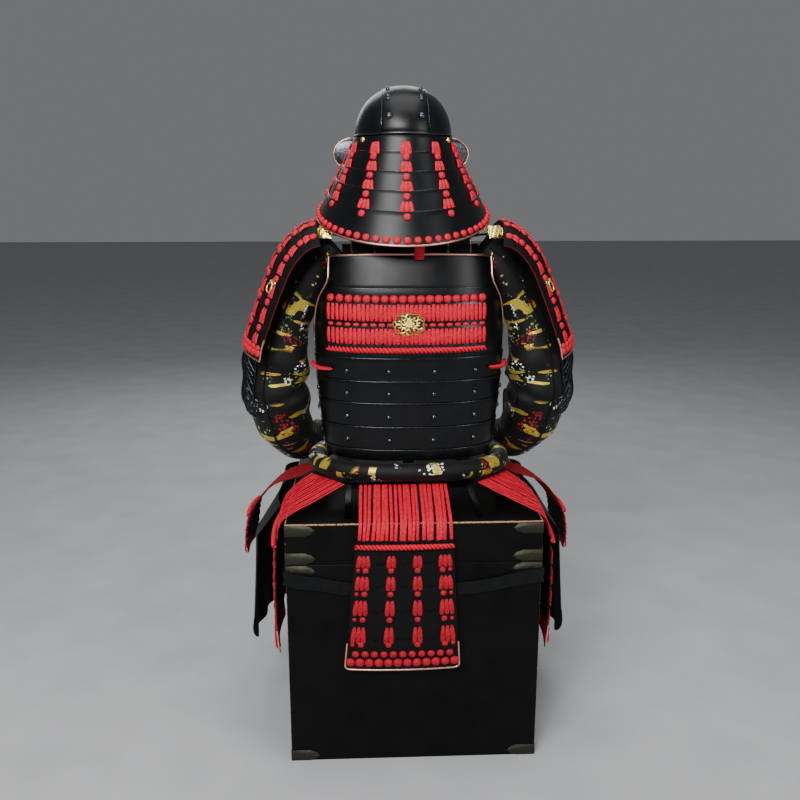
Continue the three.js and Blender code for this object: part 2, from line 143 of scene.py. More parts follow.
def spread(tree, value, low, high):
    """Runs a 0 to 1 value from low to high."""
    wires = {"Value": value, "To Min": low, "To Max": high}
    return put(tree, "ShaderNodeMapRange", wires).outputs["Result"]


def between(tree, value, low, high, **settings):
    """0 where the value is at low, 1 where it is at high."""
    wires = {"Value": value, "From Min": low, "From Max": high}
    return put(tree, "ShaderNodeMapRange", wires, **settings).outputs["Result"]


def worked(tree, operation, a, b=0.0):
    return put(tree, "ShaderNodeMath", {0: a, 1: b}, operation=operation).outputs["Value"]


def object_noise(tree, per_metre, detail, stretch=(1, 1, 1)):
    wires = {"Vector": object_place(tree, per_metre, stretch), "Detail": detail}
    return put(tree, "ShaderNodeTexNoise", wires).outputs["Fac"]


def object_cells(tree, per_metre, stretch=(1, 1, 1)):
    wires = {"Vector": object_place(tree, per_metre, stretch)}
    return put(tree, "ShaderNodeTexVoronoi", wires).outputs["Distance"]


def layered(tree, factor, under, over, **settings):
    """One colour laid over another; each is an output or a hex code."""
    under, over = (hex_colour(c) if isinstance(c, str) else c for c in (under, over))
    wires = {"Factor": factor, "A": under, "B": over}
    return put(tree, "ShaderNodeMix", wires, data_type="RGBA", **settings).outputs["Result"]


def dress(tree, shader, height, strength, depth, **sockets):
    """Wires outputs to the shader's sockets, and a height to its normal as a bump `depth` metres deep."""
    for socket, value in sockets.items():
        tree.links.new(value, shader.inputs[socket.replace("_", " ")])
    bump = {"Height": height, "Strength": strength, "Distance": depth}
    tree.links.new(put(tree, "ShaderNodeBump", bump).outputs["Normal"], shader.inputs["Normal"])


def lacquered_iron():
    """Black urushi lacquer brushed on iron plate: satin and slightly wavy, its tone mottled at random."""
    finish, tree, shader = new_finish("lacquered_iron", ior=1.32, Coat_Weight=0.03, Coat_Roughness=0.25)
    cloud, grain = object_noise(tree, 9, 5.0), object_noise(tree, 420, 3.0)
    tone = ramp(tree, cloud, [(0.3, "#050607"), (0.7, "#0A0B0E")])
    dress(tree, shader, grain, 0.12, 0.0006, Base_Color=tone, Roughness=spread(tree, cloud, 0.26, 0.38))
    return finish


def lacquered_leather():
    """The skirt's lames: rawhide boards under dull black lacquer, with a fine pebbled face."""
    finish, tree, shader = new_finish("lacquered_leather", ior=1.24)
    cloud, pebble = object_noise(tree, 30, 4.0), object_cells(tree, 900)
    tone = ramp(tree, cloud, [(0.3, "#050506"), (0.75, "#0B0C0D")])
    dress(tree, shader, pebble, 0.2, 0.0005, Base_Color=tone, Roughness=spread(tree, cloud, 0.6, 0.8))
    return finish


def silk_braid(name, light, dark):
    """Flat braided silk cord: dyed, soft sheen, small braid cells about 1.5 mm across."""
    finish, tree, shader = new_finish(name, ior=1.35, Sheen_Weight=0.04, Sheen_Roughness=0.4, Roughness=0.6)
    shader.inputs["Sheen Tint"].default_value = hex_colour("#FF8088")
    cloud, cells = object_noise(tree, 55, 3.0), object_cells(tree, 650, (1, 1, 0.55))
    mottle = ramp(tree, cloud, [(0.3, dark), (0.72, light)])
    # Each braid cell is darkened towards its edge: painted shade in the hollows between the cells.
    pit_shade = ramp(tree, cells, [(0.25, "#FFFFFF"), (0.85, "#9A5A5A")])
    tone = layered(tree, 0.8, mottle, pit_shade, blend_type="MULTIPLY")
    dress(tree, shader, cells, 0.35, -0.0006, Base_Color=tone)
    return finish


def cotton_cloth():
    """Black plain-weave cotton: matt, a dry sheen on the folds, threads about 1 mm apart."""
    finish, tree, shader = new_finish("black_cotton", ior=1.25, Sheen_Weight=0.04, Roughness=0.9)
    wave = {"Vector": object_place(tree, 500), "Distortion": 0.6}
    threads = put(tree, "ShaderNodeTexWave", wave, bands_direction="Z").outputs["Fac"]
    tone = ramp(tree, object_noise(tree, 14, 4.0), [(0.3, "#050608"), (0.75, "#0C0E11")])
    dress(tree, shader, threads, 0.25, 0.0004, Base_Color=tone)
    return finish


def brocade_cloth(name, mist_scale, mist_level, plain_patch=False):
    """Black figured silk: gold mist, white and red blossom and green leaves on a dark twill ground."""
    finish, tree, shader = new_finish(name, ior=1.3, Sheen_Weight=0.03)
    place = put(tree, "ShaderNodeTexCoord").outputs["UV"]

    def scaled(x, y, shift=(0, 0, 0)):
        wires = {"Vector": place, "Scale": (x, y, 1), "Location": shift}
        return put(tree, "ShaderNodeMapping", wires).outputs["Vector"]

    def mask(value, low, high):
        return between(tree, value, low, high, interpolation_type="SMOOTHSTEP")

    def both(a, b):
        return worked(tree, "MULTIPLY", a, b)

    def noise(x, y, shift, detail=1.0):
        wires = {"Vector": scaled(x, y, shift), "Scale": 1.0, "Detail": detail, "Roughness": 0.4}
        return put(tree, "ShaderNodeTexNoise", wires).outputs["Fac"]

    def cells(x, y, wires, **settings):
        wires = {"Vector": scaled(x, y), "Scale": 1.0, **wires}
        return put(tree, "ShaderNodeTexVoronoi", wires, **settings).outputs["Distance"]

    ground = ramp(tree, noise(150, 150, (0, 0, 0), 3.0), [(0.3, "#030303"), (0.7, "#0B0A09")])

    # Cloth that has no figure: everywhere but in a few large drifts about 80 mm across.
    drift = mask(noise(9, 9, (5, 5, 0)), 0.44, 0.48)
    if plain_patch:
        axes = put(tree, "ShaderNodeSeparateXYZ", {0: place})
        girth, low_arm = mask(axes.outputs["X"], 0.062, 0.07), mask(axes.outputs["Y"], 0.40, 0.385)
        drift = both(drift, worked(tree, "MAXIMUM", girth, low_arm))

    # Gold mist: clouds about 50 by 15 mm with wavy ends, streaked with bright thread inside.
    gold = ramp(tree, noise(300, 2100, (0, 0, 0), 2.0),
                [(0.32, "#5E5210"), (0.48, "#B8A02C"), (0.68, "#FFE868")])
    gold_mask = both(mask(noise(*mist_scale, (2, 9, 0), 1.5), mist_level, mist_level + 0.012), drift)
    colour = layered(tree, gold_mask, ground, gold)

    # Leaves: pointed cells about 8 mm long, only where the leaf cloud is high.
    leaf = cells(170, 105, {}, distance="MANHATTAN")
    leaf_mask = both(mask(leaf, 0.4, 0.34), mask(noise(16, 16, (3, 7, 0)), 0.56, 0.59))
    colour = layered(tree, both(leaf_mask, drift), colour, "#8FA85A")

    # Blossom: petalled dots about 6 mm across, white in one cloud and red in the other.
    petals = cells(165, 165, {"Smoothness": 0.12}, feature="SMOOTH_F1")
    bloom = noise(15, 15, (11, 2, 0))
    petal_mask = both(mask(petals, 0.42, 0.36), drift)
    white_mask = both(petal_mask, mask(bloom, 0.59, 0.61))
    colour = layered(tree, white_mask, colour, "#ECE9E0")
    colour = layered(tree, both(petal_mask, mask(bloom, 0.37, 0.35)), colour, "#8E1420")
    colour = layered(tree, both(mask(petals, 0.12, 0.08), white_mask), colour, "#C9B44A")

    twill = put(tree, "ShaderNodeTexWave", {"Vector": scaled(900, 900)}, bands_direction="DIAGONAL")
    dress(tree, shader, twill.outputs["Fac"], 0.2, 0.0003, Base_Color=colour,
          Roughness=spread(tree, gold_mask, 0.6, 0.36), Metallic=spread(tree, gold_mask, 0.0, 0.6))
    return finish


def plain_metal(name, dark, light, low, high, grit=300, bump_depth=0.0003):
    """Metal with a mottled tone and a fine uneven surface."""
    finish, tree, shader = new_finish(name, metallic=1.0)
    cloud = object_noise(tree, grit, 4.0)
    tone = ramp(tree, cloud, [(0.3, dark), (0.7, light)])
    dress(tree, shader, cloud, 0.4, bump_depth, Base_Color=tone, Roughness=spread(tree, cloud, low, high))
    return finish


def box_lacquer():
    """Softwood boards under thin brushed black lacquer; rubbed to bare brown along the lid's edges."""
    finish, tree, shader = new_finish("box_lacquer", ior=1.2)
    grain = object_noise(tree, 6, 6.0, (1, 1, 22))
    cloud, chips = object_noise(tree, 4, 5.0), object_noise(tree, 45, 5.0)
    tone = ramp(tree, cloud, [(0.3, "#030403"), (0.7, "#080907")])
    axes = put(tree, "ShaderNodeSeparateXYZ", {0: put(tree, "ShaderNodeTexCoord").outputs["Object"]})

    def near(axis, edge):
        """1 on a face's edge, falling to 0 over 5 mm."""
        return between(tree, worked(tree, "ABSOLUTE", axes.outputs[axis]), edge - 0.005, edge)

    side_x, side_y, top = (near(axis, edge) for axis, edge in zip("XYZ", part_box("box_lid")[1]))
    edges = worked(tree, "MULTIPLY", worked(tree, "MULTIPLY", side_x, side_y), 0.55)
    for side in (side_x, side_y):
        edges = worked(tree, "MAXIMUM", edges, worked(tree, "MULTIPLY", side, top))
    worn = between(tree, worked(tree, "MULTIPLY", edges, chips), 0.22, 0.34)
    dress(tree, shader, grain, 0.18, 0.0008, Base_Color=layered(tree, worn, tone, "#A47C5C"),
          Roughness=spread(tree, cloud, 0.36, 0.56))
    return finish


def floor_paint():
    """Pale matt studio floor."""
    finish, tree, shader = new_finish("pale_floor", Roughness=0.8)
    tone = ramp(tree, object_noise(tree, 1.2, 4.0), [(0.3, "#A2A3A5"), (0.7, "#ACADAF")])
    tree.links.new(tone, shader.inputs["Base Color"])
    return finish


IRON = lacquered_iron()
LEATHER = lacquered_leather()
SILK = silk_braid("red_silk_braid", "#F4143C", "#B00824")
# A darker copy of the red silk for the skirt lames' lacing: painted shade.
SHADED_SKIRT_SILK = silk_braid("skirt_red_silk_braid_painted_shade", "#D01030", "#8A0618")
# A still darker copy of the red silk for the side tassets' cords and the guards' piping: painted shade.
SHADED_SILK = silk_braid("shaded_red_silk_braid", "#A60E20", "#680610")
GOLD_BRAID = silk_braid("gold_braid", "#C9B26A", "#8A7434")
COTTON = cotton_cloth()
SLEEVE_SILK = brocade_cloth("sleeve_brocade", (15, 52), 0.6, plain_patch=True)
ROLL_SILK = brocade_cloth("waist_roll_brocade", (30, 6), 0.545)
GILT = plain_metal("gilt_brass", "#F4C838", "#FFF6A0", 0.2, 0.36, 260)
COPPER = plain_metal("copper_edging", "#D08C78", "#F6C0AC", 0.26, 0.4, 180)
# Dark brass: the real patina of the box's brackets, and painted shade as the backing behind the boss's
# openwork.
AGED_BRASS_AND_SHADE = plain_metal("aged_brass_and_painted_shade", "#1A1A15", "#57554A", 0.34, 0.56, 520, 0.0008)
MAIL_IRON = plain_metal("blackened_mail", "#1A1C1F", "#3C4046", 0.25, 0.4)
# Glossy black iron given a lighter grey colour: a painted highlight on rivets, pins, the helmet's rim, lame
# edges, scallops, the turnback plates and the stand frame.
HIGHLIT_IRON = plain_metal("black_iron_painted_highlight", "#363A40", "#5C626A", 0.2, 0.32, 60)
STAND_PAINT = plain_metal("black_stand_steel", "#08090A", "#111214", 0.18, 0.3, 60)
BOX_PAINT = box_lacquer()


def settle(piece, finish, *nodes):
    """Gives a finished piece of the fixed body its material and the nodes it stands for."""
    piece.data.materials.clear()
    piece.data.materials.append(finish)
    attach(piece, "root")
    if nodes:
        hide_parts(*nodes)
    return piece


# ---- ways of making shapes (all in millimetres until the mesh is written) -------------------------
def point(x, y, z):
    return Vector((x, y, z))


def mix(a, b, t):
    return a + (b - a) * t


def power(value, exponent):
    return math.copysign(abs(value) ** exponent, value)


def route(rows):
    """A smooth line through the rows, as a function of 0 to 1."""
    knots = [Vector(row) for row in rows]
    knots = [knots[0] * 2 - knots[1], *knots, knots[-1] * 2 - knots[-2]]
    spans = len(rows) - 1

    def at(t):
        along = min(max(t, 0.0), 1.0) * spans
        i = min(int(along), spans - 1)
        w = along - i
        a, b, c, d = knots[i:i + 4]
        start, end = (c - a) * 0.5, (d - b) * 0.5
        cubic = (b * 2 - c * 2 + start + end) * w ** 3
        return cubic + (c * 3 - b * 3 - start * 2 - end) * w ** 2 + start * w + b
    return at


def table(rows, at):
    """Straight-line lookup of a width that changes with height."""
    return float(np.interp(at, [row[0] for row in rows], [row[1] for row in rows]))


def mirrored(surface):
    def other(u, v, *more):
        spot = surface(u, v, *more)
        return Vector((-spot.x, spot.y, spot.z))
    return other


def same(surface):
    return surface


SIDES = [("left", same, 1), ("right", mirrored, -1)]


def aside(spot):
    """The level direction from the upright middle line to a point."""
    return point(spot.x, spot.y, 0).normalized()


def outward(surface, inside, u, v):
    """The unit normal of a surface at (u, v) that points away from `inside`, and the u direction."""
    step = 1e-3
    across = surface(min(u + step, 1), v) - surface(max(u - step, 0), v)
    down = surface(u, min(v + step, 1)) - surface(u, max(v - step, 0))
    normal = across.cross(down).normalized()
    if normal.dot(surface(u, v) - inside) < 0:
        normal.negate()
    return normal, across.normalized()


def only(piece):
    bpy.ops.object.select_all(action="DESELECT")
    piece.select_set(True)
    bpy.context.view_layer.objects.active = piece


def apply_modifier(piece, kind, **settings):
    only(piece)
    modifier = piece.modifiers.new(kind.lower(), kind)
    for field, value in settings.items():
        setattr(modifier, field, value)
    bpy.ops.object.modifier_apply(modifier=modifier.name)


def smooth(piece, angle=40):
    only(piece)
    bpy.ops.object.shade_smooth_by_angle(angle=math.radians(angle))
    return piece


def edit_all(tool, **settings):
    """Uses one edit-mode tool on the whole of the active mesh."""
    bpy.ops.object.mode_set(mode="EDIT")
    bpy.ops.mesh.select_all(action="SELECT")
    tool(**settings)
    bpy.ops.object.mode_set(mode="OBJECT")


def sheet(name, surface, across, down, thick, inside, ring=False, edge=0.0, cloth=(1, 1)):
    """A grid laid on a surface, thickened inwards, with its edges rounded."""
    bpy.ops.object.select_all(action="DESELECT")
    bpy.ops.mesh.primitive_grid_add(x_subdivisions=across, y_subdivisions=down, size=2)
    piece = bpy.context.object
    piece.name = name
    for vertex in piece.data.vertices:
        vertex.co = surface((vertex.co.x + 1) / 2, (1 - vertex.co.y) / 2) * MM
    for loop in piece.data.uv_layers[0].data:
        loop.uv = (loop.uv[0] * cloth[0], loop.uv[1] * cloth[1])
    if ring:
        edit_all(bpy.ops.mesh.remove_doubles, threshold=1e-5)
    piece.data.update()
    faces = piece.data.polygons
    middle = faces[len(faces) // 2]
    if middle.normal.dot(middle.center - inside * MM) < 0:
        edit_all(bpy.ops.mesh.flip_normals)
    if thick:
        apply_modifier(piece, "SOLIDIFY", thickness=thick * MM, offset=-1, use_even_offset=True)
    if edge:
        apply_modifier(piece, "BEVEL", width=edge * MM, segments=2, limit_method="ANGLE",
                       angle_limit=math.radians(50))
    return smooth(piece)


def joined(name, pieces):
    bpy.ops.object.select_all(action="DESELECT")
    for piece in pieces:
        piece.select_set(True)
    bpy.context.view_layer.objects.active = pieces[0]
    if len(pieces) > 1:
        bpy.ops.object.join()
    whole = bpy.context.view_layer.objects.active
    whole.name = name
    return whole


def rows_of(points):
    return np.array([tuple(spot) for spot in points])


def unit(rows):
    return rows / np.linalg.norm(rows, axis=1)[:, None]


def travelled(spots):
    """The distance run along a line of points up to each of them."""
    return np.concatenate([[0], np.cumsum(np.linalg.norm(np.diff(spots, axis=0), axis=1))])


def strand(spots, normals, wide, thick, sides=6, ends=0.25, tucked=False):
    """One flattened cord: its vertices and faces. `ends` is how far the tips narrow, 1 for square;
    a tucked cord widens from its first tip and goes under the next lame at full width."""
    spots, normals = rows_of(spots), rows_of(normals)
    aside = unit(np.cross(unit(np.gradient(spots, axis=0)), normals))
    count = len(spots)
    travel = np.linspace(0, 1, count)
    reach = np.minimum(travel * 0.8, 0.5) if tucked else travel
    taper = ends + (1 - ends) * np.sin(np.pi * reach) ** 0.5 if ends < 1 else np.ones(count)
    turns = np.arange(sides) * 2 * np.pi / sides
    rings = (spots[:, None, :]
             + aside[:, None, :] * (np.cos(turns)[None, :, None] * taper[:, None, None] * wide / 2)
             + normals[:, None, :] * (np.sin(turns)[None, :, None] * taper[:, None, None] * thick / 2))
    faces = [tuple(range(sides))]
    for i in range(count - 1):
        for j in range(sides):
            k = (j + 1) % sides
            faces.append((i * sides + j, (i + 1) * sides + j, (i + 1) * sides + k, i * sides + k))
    faces.append(tuple(reversed(range((count - 1) * sides, count * sides))))
    return rings.reshape(-1, 3), faces


def written(name, parts):
    """Writes many small shapes, each (vertices, faces) in millimetres, as one mesh facing out."""
    vertices, faces, base = [], [], 0
    for spots, polygons in parts:
        vertices.append(np.asarray(spots) * MM)
        faces.extend(tuple(base + i for i in polygon) for polygon in polygons)
        base += len(spots)
    mesh = bpy.data.meshes.new(name)
    mesh.from_pydata(np.concatenate(vertices).tolist(), [], faces)
    piece = bpy.data.objects.new(name, mesh)
    bpy.context.scene.collection.objects.link(piece)
    only(piece)
    edit_all(bpy.ops.mesh.normals_make_consistent, inside=False)
    return smooth(piece, 60)


def one_strand(name, line, facing, size, finish, *nodes, sides=8, ends=1):
    """A single cord, `size` wide and thick, as a piece of its own."""
    return settle(written(name, [strand(line, facing, *size, sides, ends)]), finish, *nodes)


def shape_of(piece):
    """Takes a modelled piece's vertices and faces, in millimetres, as a pattern to copy."""
    spots = rows_of(v.co for v in piece.data.vertices) / MM
    faces = [tuple(p.vertices) for p in piece.data.polygons]
    mesh = piece.data
    bpy.data.objects.remove(piece)
    bpy.data.meshes.remove(mesh)
    return spots, faces


def copies(pattern, places):
    """The pattern set down at each place: (where, across, up, out, size)."""
    spots, faces = pattern
    return [((spots * size) @ rows_of((across, up, out)) + np.array(tuple(where)), faces)
            for where, across, up, out, size in places]


def stand_on(surface, inside, u, v, proud=0.0, size=1.0):
    """A place on a surface, for copies()."""
    out, across = outward(surface, inside, u, v)
    return surface(u, v) + out * proud, across, out.cross(across).normalized(), out, size


def raised(surface, inside, places, proud=0.0):
    """The points at (u, v) places on a surface, lifted by `proud`, and the normals there."""
    facing = [outward(surface, inside, u, v)[0] for u, v in places]
    return [surface(*place) + out * proud for place, out in zip(places, facing)], facing


def laid_cord(surface, inside, spots, proud, wide, thick, steps=6, ends=0.35, arch=0.0, tucked=True):
    """A cord that lies on a surface along the straight (u, v) run given by its two ends."""
    (u0, v0), (u1, v1) = spots
    line, normals = [], []
    for i in range(steps + 1):
        t = i / steps
        u, v = mix(u0, u1, t), mix(v0, v1, t)
        out, _ = outward(surface, inside, u, v)
        line.append(surface(u, v) + out * (proud + arch * math.sin(math.pi * t)))
        normals.append(out)
    return strand(line, normals, wide, thick, ends=ends, tucked=tucked)


def rope(line, normals, radius, pitch):
    """Twisted cord: two round strands wound about a line."""
    spots, face = rows_of(line), rows_of(normals)
    travel = travelled(spots)
    where = np.linspace(0, travel[-1], max(8, int(travel[-1] / pitch * 10)))
    centre, face = (np.stack([np.interp(where, travel, rows[:, k]) for k in range(3)], axis=1)
                    for rows in (spots, face))
    face = unit(face)
    aside = np.cross(unit(np.gradient(centre, axis=0)), face)
    parts = []
    for ply in range(2):
        turn = where / pitch * 2 * np.pi + ply * np.pi
        lift = np.cos(turn)[:, None] * face + np.sin(turn)[:, None] * aside
        parts.append(strand(centre + lift * radius * 0.5, lift, radius, radius, 8, 0.6))
    return parts


def even(line, count, margin):
    """Values of u that set `count` points at equal distances along line(u), `margin` in from the ends."""
    us = np.linspace(0, 1, 241)
    travel = travelled(rows_of(line(u) for u in us))
    return np.interp(np.linspace(margin, travel[-1] - margin, count), travel, us)


def edging(name, lines, radius):
    """Half-round metal edging along lines of points, each with square ends."""
    parts = []
    for line in lines:
        tangents = unit(np.gradient(rows_of(line), axis=0))
        normals = []
        normal = np.cross(tangents[0], (0.31, 0.22, 0.93))
        for tangent in tangents:
            normal = normal - tangent * normal.dot(tangent)
            normal /= np.linalg.norm(normal)
            normals.append(normal)
        parts.append(strand(line, normals, radius * 2, radius * 2, 8, ends=1))
    return settle(written(name, parts), COPPER)


# ---- patterns that repeat ------------------------------------------------------------------------
def pillow(half_width, half_height, lift, squareness, groove):
    """A soft knot of thick silk cord: a rounded square pad with a groove across it."""
    bpy.ops.object.select_all(action="DESELECT")
    bpy.ops.mesh.primitive_uv_sphere_add(segments=12, ring_count=6, radius=MM)
    pad = bpy.context.object
    edit_all(bpy.ops.transform.resize, value=(half_width, half_height, lift))
    for vertex in pad.data.vertices:
        x, y = vertex.co.x / half_width / MM, vertex.co.y / half_height / MM
        round_off = max(abs(x) ** squareness + abs(y) ** squareness, 1e-6) ** (1 / squareness)
        grow = math.hypot(x, y) / round_off
        vertex.co.x *= grow
        vertex.co.y *= grow
        vertex.co.z *= 1 - groove * math.exp(-((x - y * 0.35) / 0.2) ** 2)
    return shape_of(pad)


def dome_rivet(radius, height):
    """A round-headed iron rivet."""
    bpy.ops.object.select_all(action="DESELECT")
    bpy.ops.mesh.primitive_uv_sphere_add(segments=16, ring_count=8, radius=radius * MM)
    head = bpy.context.object
    edit_all(bpy.ops.mesh.bisect, plane_co=(0, 0, 0), plane_no=(0, 0, 1), clear_inner=True, use_fill=True)
    edit_all(bpy.ops.transform.resize, value=(1, 1, height / radius))
    return shape_of(head)


KNOT = pillow(7.9, 7.4, 5.2, 3.2, 0.28)
BALL = pillow(8.6, 7.9, 5.6, 2.4, 0.14)
RIVET = dome_rivet(5.4, 3.9)


# ---- the armour's own surfaces, in millimetres ------------------------------------------------------
BOX = {"width": 510, "depth": 480, "seam": 441, "height": 526, "board": 12}
BOWL = {"half_width": 98, "half_depth": 113, "centre_x": 12, "centre_y": -5, "rim": 1266, "top": 1361,
        "hole": 0.02}
NECK_STEPS = [0.005, 0.15, 0.33, 0.505, 0.69, 1.0]
NECK_REACH = 118
BOWL_CURVE = 0.86
DOU_WIDTH = [[600, 176], [613, 179], [646, 185], [750, 195], [830, 200], [890, 200], [970, 193], [1040, 180]]
DOU_BACK = [[600, 110], [613, 112], [750, 118], [870, 122], [970, 117], [1040, 101]]
DOU_FRONT = [[600, 116], [613, 118], [750, 126], [850, 130], [930, 124], [980, 112]]
BACK_EDGE = [[872, 200], [890, 199], [906, 197], [926, 194], [949, 187], [965, 178], [978, 170], [990, 167],
             [1040, 165]]
FRONT_EDGE = [[850, 200], [862, 196], [880, 184], [905, 160], [935, 138], [980, 124]]
HELMET_HEART = point(BOWL["centre_x"], 0, 1200)
BODY_HEART = point(0, 0, 800)
SKIRT_HEART = point(0, 0, 300)


def bowl(u, v):
    turn, rise = u * 2 * math.pi, v * math.pi / 2 * (1 - BOWL["hole"])
    inwards = math.cos(rise) ** BOWL_CURVE
    x = BOWL["centre_x"] + BOWL["half_width"] * inwards * math.cos(turn)
    y = BOWL["centre_y"] + BOWL["half_depth"] * inwards * math.sin(turn)
    return point(x, y, mix(BOWL["rim"], BOWL["top"], math.sin(rise)))


def bowl_over(x, along, proud=0.0):
    """The bowl's face at x from its middle line, `along` from 0 behind over the top to 1 in front."""
    inwards = math.cos(math.pi * along) * math.sqrt(1 - (x / BOWL["half_width"]) ** 2)
    y = BOWL["half_depth"] * inwards
    share = min(math.hypot(x / BOWL["half_width"], y / BOWL["half_depth"]), 1)
    rise = math.acos(share ** (1 / BOWL_CURVE))
    middle = point(BOWL["centre_x"], BOWL["centre_y"], 0)
    spot = middle + point(x, y, mix(BOWL["rim"], BOWL["top"], math.sin(rise)))
    return spot + (spot - middle - point(0, 0, 1250)).normalized() * proud


def neck_guard(turn, t, proud=0.0):
    a = math.radians(turn)
    shorter = 1 - 0.26 * (1 - math.cos(a))
    return point(BOWL["centre_x"] + (101 + 68 * t ** 1.25 + proud) * math.sin(a),
                 BOWL["centre_y"] + (114 + 60 * t ** 1.2 + proud) * math.cos(a), 1263 - 206 * t * shorter)


def visor(u, v):
    a = math.radians(mix(124, 236, u))
    return point(BOWL["centre_x"] + (103 + 10 * v) * math.sin(a),
                 BOWL["centre_y"] + 116 * math.cos(a) - 42 * v * math.sin(math.pi * u), 1263 - 18 * v)


def turnback(u, v, sign=1):
    width = 44 * math.sqrt(max(0.02, 1 - (2 * v - 1) ** 2 * 0.96))
    return point(BOWL["centre_x"] + sign * (100 + width * u), -79 - 8 * u, mix(1264, 1198, v) + 4 * u)


def cuirass(u, z, back, proud=0.0):
    a, b = table(DOU_WIDTH, z), table(DOU_BACK if back else DOU_FRONT, z)
    edge = min(table(BACK_EDGE if back else FRONT_EDGE, z), a - 0.02)
    start = max(math.acos((edge / a) ** 1.25), 0.018)
    turn = mix(start, math.pi - start, u)
    y = (b + proud) * power(math.sin(turn), 0.8)
    return point((a + proud) * power(math.cos(turn), 0.8), y if back else -y, z)


STRAP = route([(95, 101, 1041), (97, 84, 1056), (99, 50, 1068), (100, 10, 1070), (98, -40, 1062),
               (96, -78, 1034), (95, -100, 1004), (94, -112, 978)])


def strap(u, v):
    return STRAP(v) + point(45 * (u - 0.5), 0, 0)


def waist_roll(u, v):
    turn, around = u * 2 * math.pi, v * 2 * math.pi
    out = 19 * math.cos(around)
    return point((201 + out) * power(math.cos(turn), 2 / 2.3), (138 + out) * power(math.sin(turn), 2 / 2.3),
                 591 + 5 * math.sin(turn) + 19 * math.sin(around))


# Each tasset is two edge routes, from the waist over the lid's edge to the hem.
TASSETS = {
    "back": (
        [(109, 141, 570), (111, 190, 551), (112, 238, 533), (114, 251, 518), (117, 252, 490),
         (126, 254, 380), (141, 257, 221)],
        [(-74, 141, 570), (-75, 190, 551), (-75, 238, 533), (-75, 251, 518), (-76, 252, 490),
         (-82, 254, 380), (-91, 257, 221)]),
    "rear": (
        [(138, 128, 568), (200, 184, 550), (250, 222, 534), (265, 232, 517), (270, 233, 484),
         (275, 228, 380), (274, 214, 236)],
        [(212, 44, 566), (236, 50, 552), (256, 58, 536), (268, 62, 518), (273, 63, 484),
         (279, 60, 380), (278, 50, 236)]),
    "side": (
        [(211, 26, 566), (242, 12, 547), (302, -4, 521), (337, -12, 482), (354, -22, 446),
         (366, -36, 396), (368, -46, 345)],
        [(196, -64, 567), (232, -84, 546), (270, -104, 529), (306, -122, 492), (341, -136, 448),
         (352, -150, 398), (358, -160, 345)]),
    "front": (
        [(150, -124, 568), (160, -186, 551), (172, -240, 536), (177, -270, 520), (181, -280, 486),
         (187, -282, 380), (198, -284, 250)],
        [(12, -146, 568), (12, -190, 551), (11, -240, 536), (11, -270, 520), (10, -280, 486),
         (8, -282, 380), (6, -284, 250)]),
}


def tasset_face(name):
    outer, inner = route(TASSETS[name][0]), route(TASSETS[name][1])

    def raw(u, v):
        return outer(v).lerp(inner(v), u)

    def face(u, v, proud=0.0):
        spot = raw(u, v)
        across = (outer(v) - inner(v)).normalized()
        down = (raw(u, min(v + 1e-3, 1)) - raw(u, max(v - 1e-3, 0))).normalized()
        out = across.cross(down).normalized()
        if out.dot(point(spot.x, spot.y, 60)) < 0:
            out.negate()
        return spot + out * (7 * v * (1 - (2 * u - 1) ** 2) + proud)
    return face


SODE = route([(190, 0, 1098), (217, 0, 1090), (248, 0, 1066), (274, 0, 1032), (294, 0, 990),
              (311, 0, 949), (328, 0, 903), (341, 0, 868), (347, 0, 838)])


def shoulder_guard(u, v, proud=0.0):
    y = 130 * (2 * u - 1)
    down = (SODE(min(v + 1e-3, 1)) - SODE(max(v - 1e-3, 0))).normalized()
    out = point(-down.z, 0, down.x)
    sag = 207 - math.sqrt(207 ** 2 - y ** 2)
    spot = SODE(v) + out * (proud - sag)
    spot.y = y
    return spot


SLEEVE_ROWS = [
    (150, 4, 1044, 43), (188, 6, 1010, 48), (226, 6, 955, 48), (257, 4, 893, 49), (272, 3, 845, 60),
    (282, 1, 795, 68), (285, -4, 745, 69), (279, -22, 690, 65), (267, -54, 642, 58), (249, -90, 610, 51),
    (225, -126, 594, 45), (202, -156, 592, 40)]
HAND_ROWS = [(196, -165, 592, 40), (184, -182, 592, 40), (168, -202, 592, 39), (152, -222, 590, 36),
             (138, -240, 586, 32)]


def limb(rows):
    centre = route([row[:3] for row in rows])
    girth = route([(row[3], i, 0) for i, row in enumerate(rows)])

    def face(turn, v, proud=0.0):
        along = (centre(v + 1e-3) - centre(v - 1e-3)).normalized()
        back = (point(0, 1, 0) - along * along.y).normalized()
        out = along.cross(back).normalized()
        fold = 1 + 0.025 * math.sin(v * 46 + 1.6 * math.sin(turn)) * math.sin(math.pi * v)
        radius = girth(v).x * fold + proud
        return centre(v) + out * radius * math.cos(turn) + back * radius * math.sin(turn)
    return face


SLEEVE, HAND = limb(SLEEVE_ROWS), limb(HAND_ROWS)
THIGH = route([(8, -262, 0), (90, -266, 0), (180, -266, 0), (256, -255, 0), (303, -219, 0),
               (328, -155, 0), (340, -80, 0), (342, -5, 0), (330, 52, 0)])
TIE = route([(262, -150, 434), (262, -30, 430), (261, 120, 420), (260, 222, 413), (252, 246, 412),
             (190, 247, 402), (120, 247, 390), (0, 247, 386)])


def thigh_guard(u, v):
    spot = THIGH(u)
    along = (THIGH(u + 1e-3) - THIGH(u - 1e-3)).normalized()
    out = point(along.y, -along.x, 0)
    rise = min(max((u - 0.42) / 0.24, 0), 1)
    eased = rise * rise * (3 - 2 * rise)
    top = mix(500, 494, eased)
    hem = 150 + 85 * max(0, (u - 0.8) / 0.2) ** 3
    low = v ** 1.2
    lean = 50 * eased * max(0, 1 - v / 0.25)
    spot = spot + out * (12 * low + 6 * low * math.sin(u * 34) - lean)
    spot.z = mix(top, hem, v)
    return spot


def tie_band(u, v):
    t = u * 2 if u <= 0.5 else 2 - u * 2
    spot = TIE(t)
    if u > 0.5:
        spot.x *= -1
    spot.z += mix(18, 12, t) * (1 - 2 * v)
    return spot


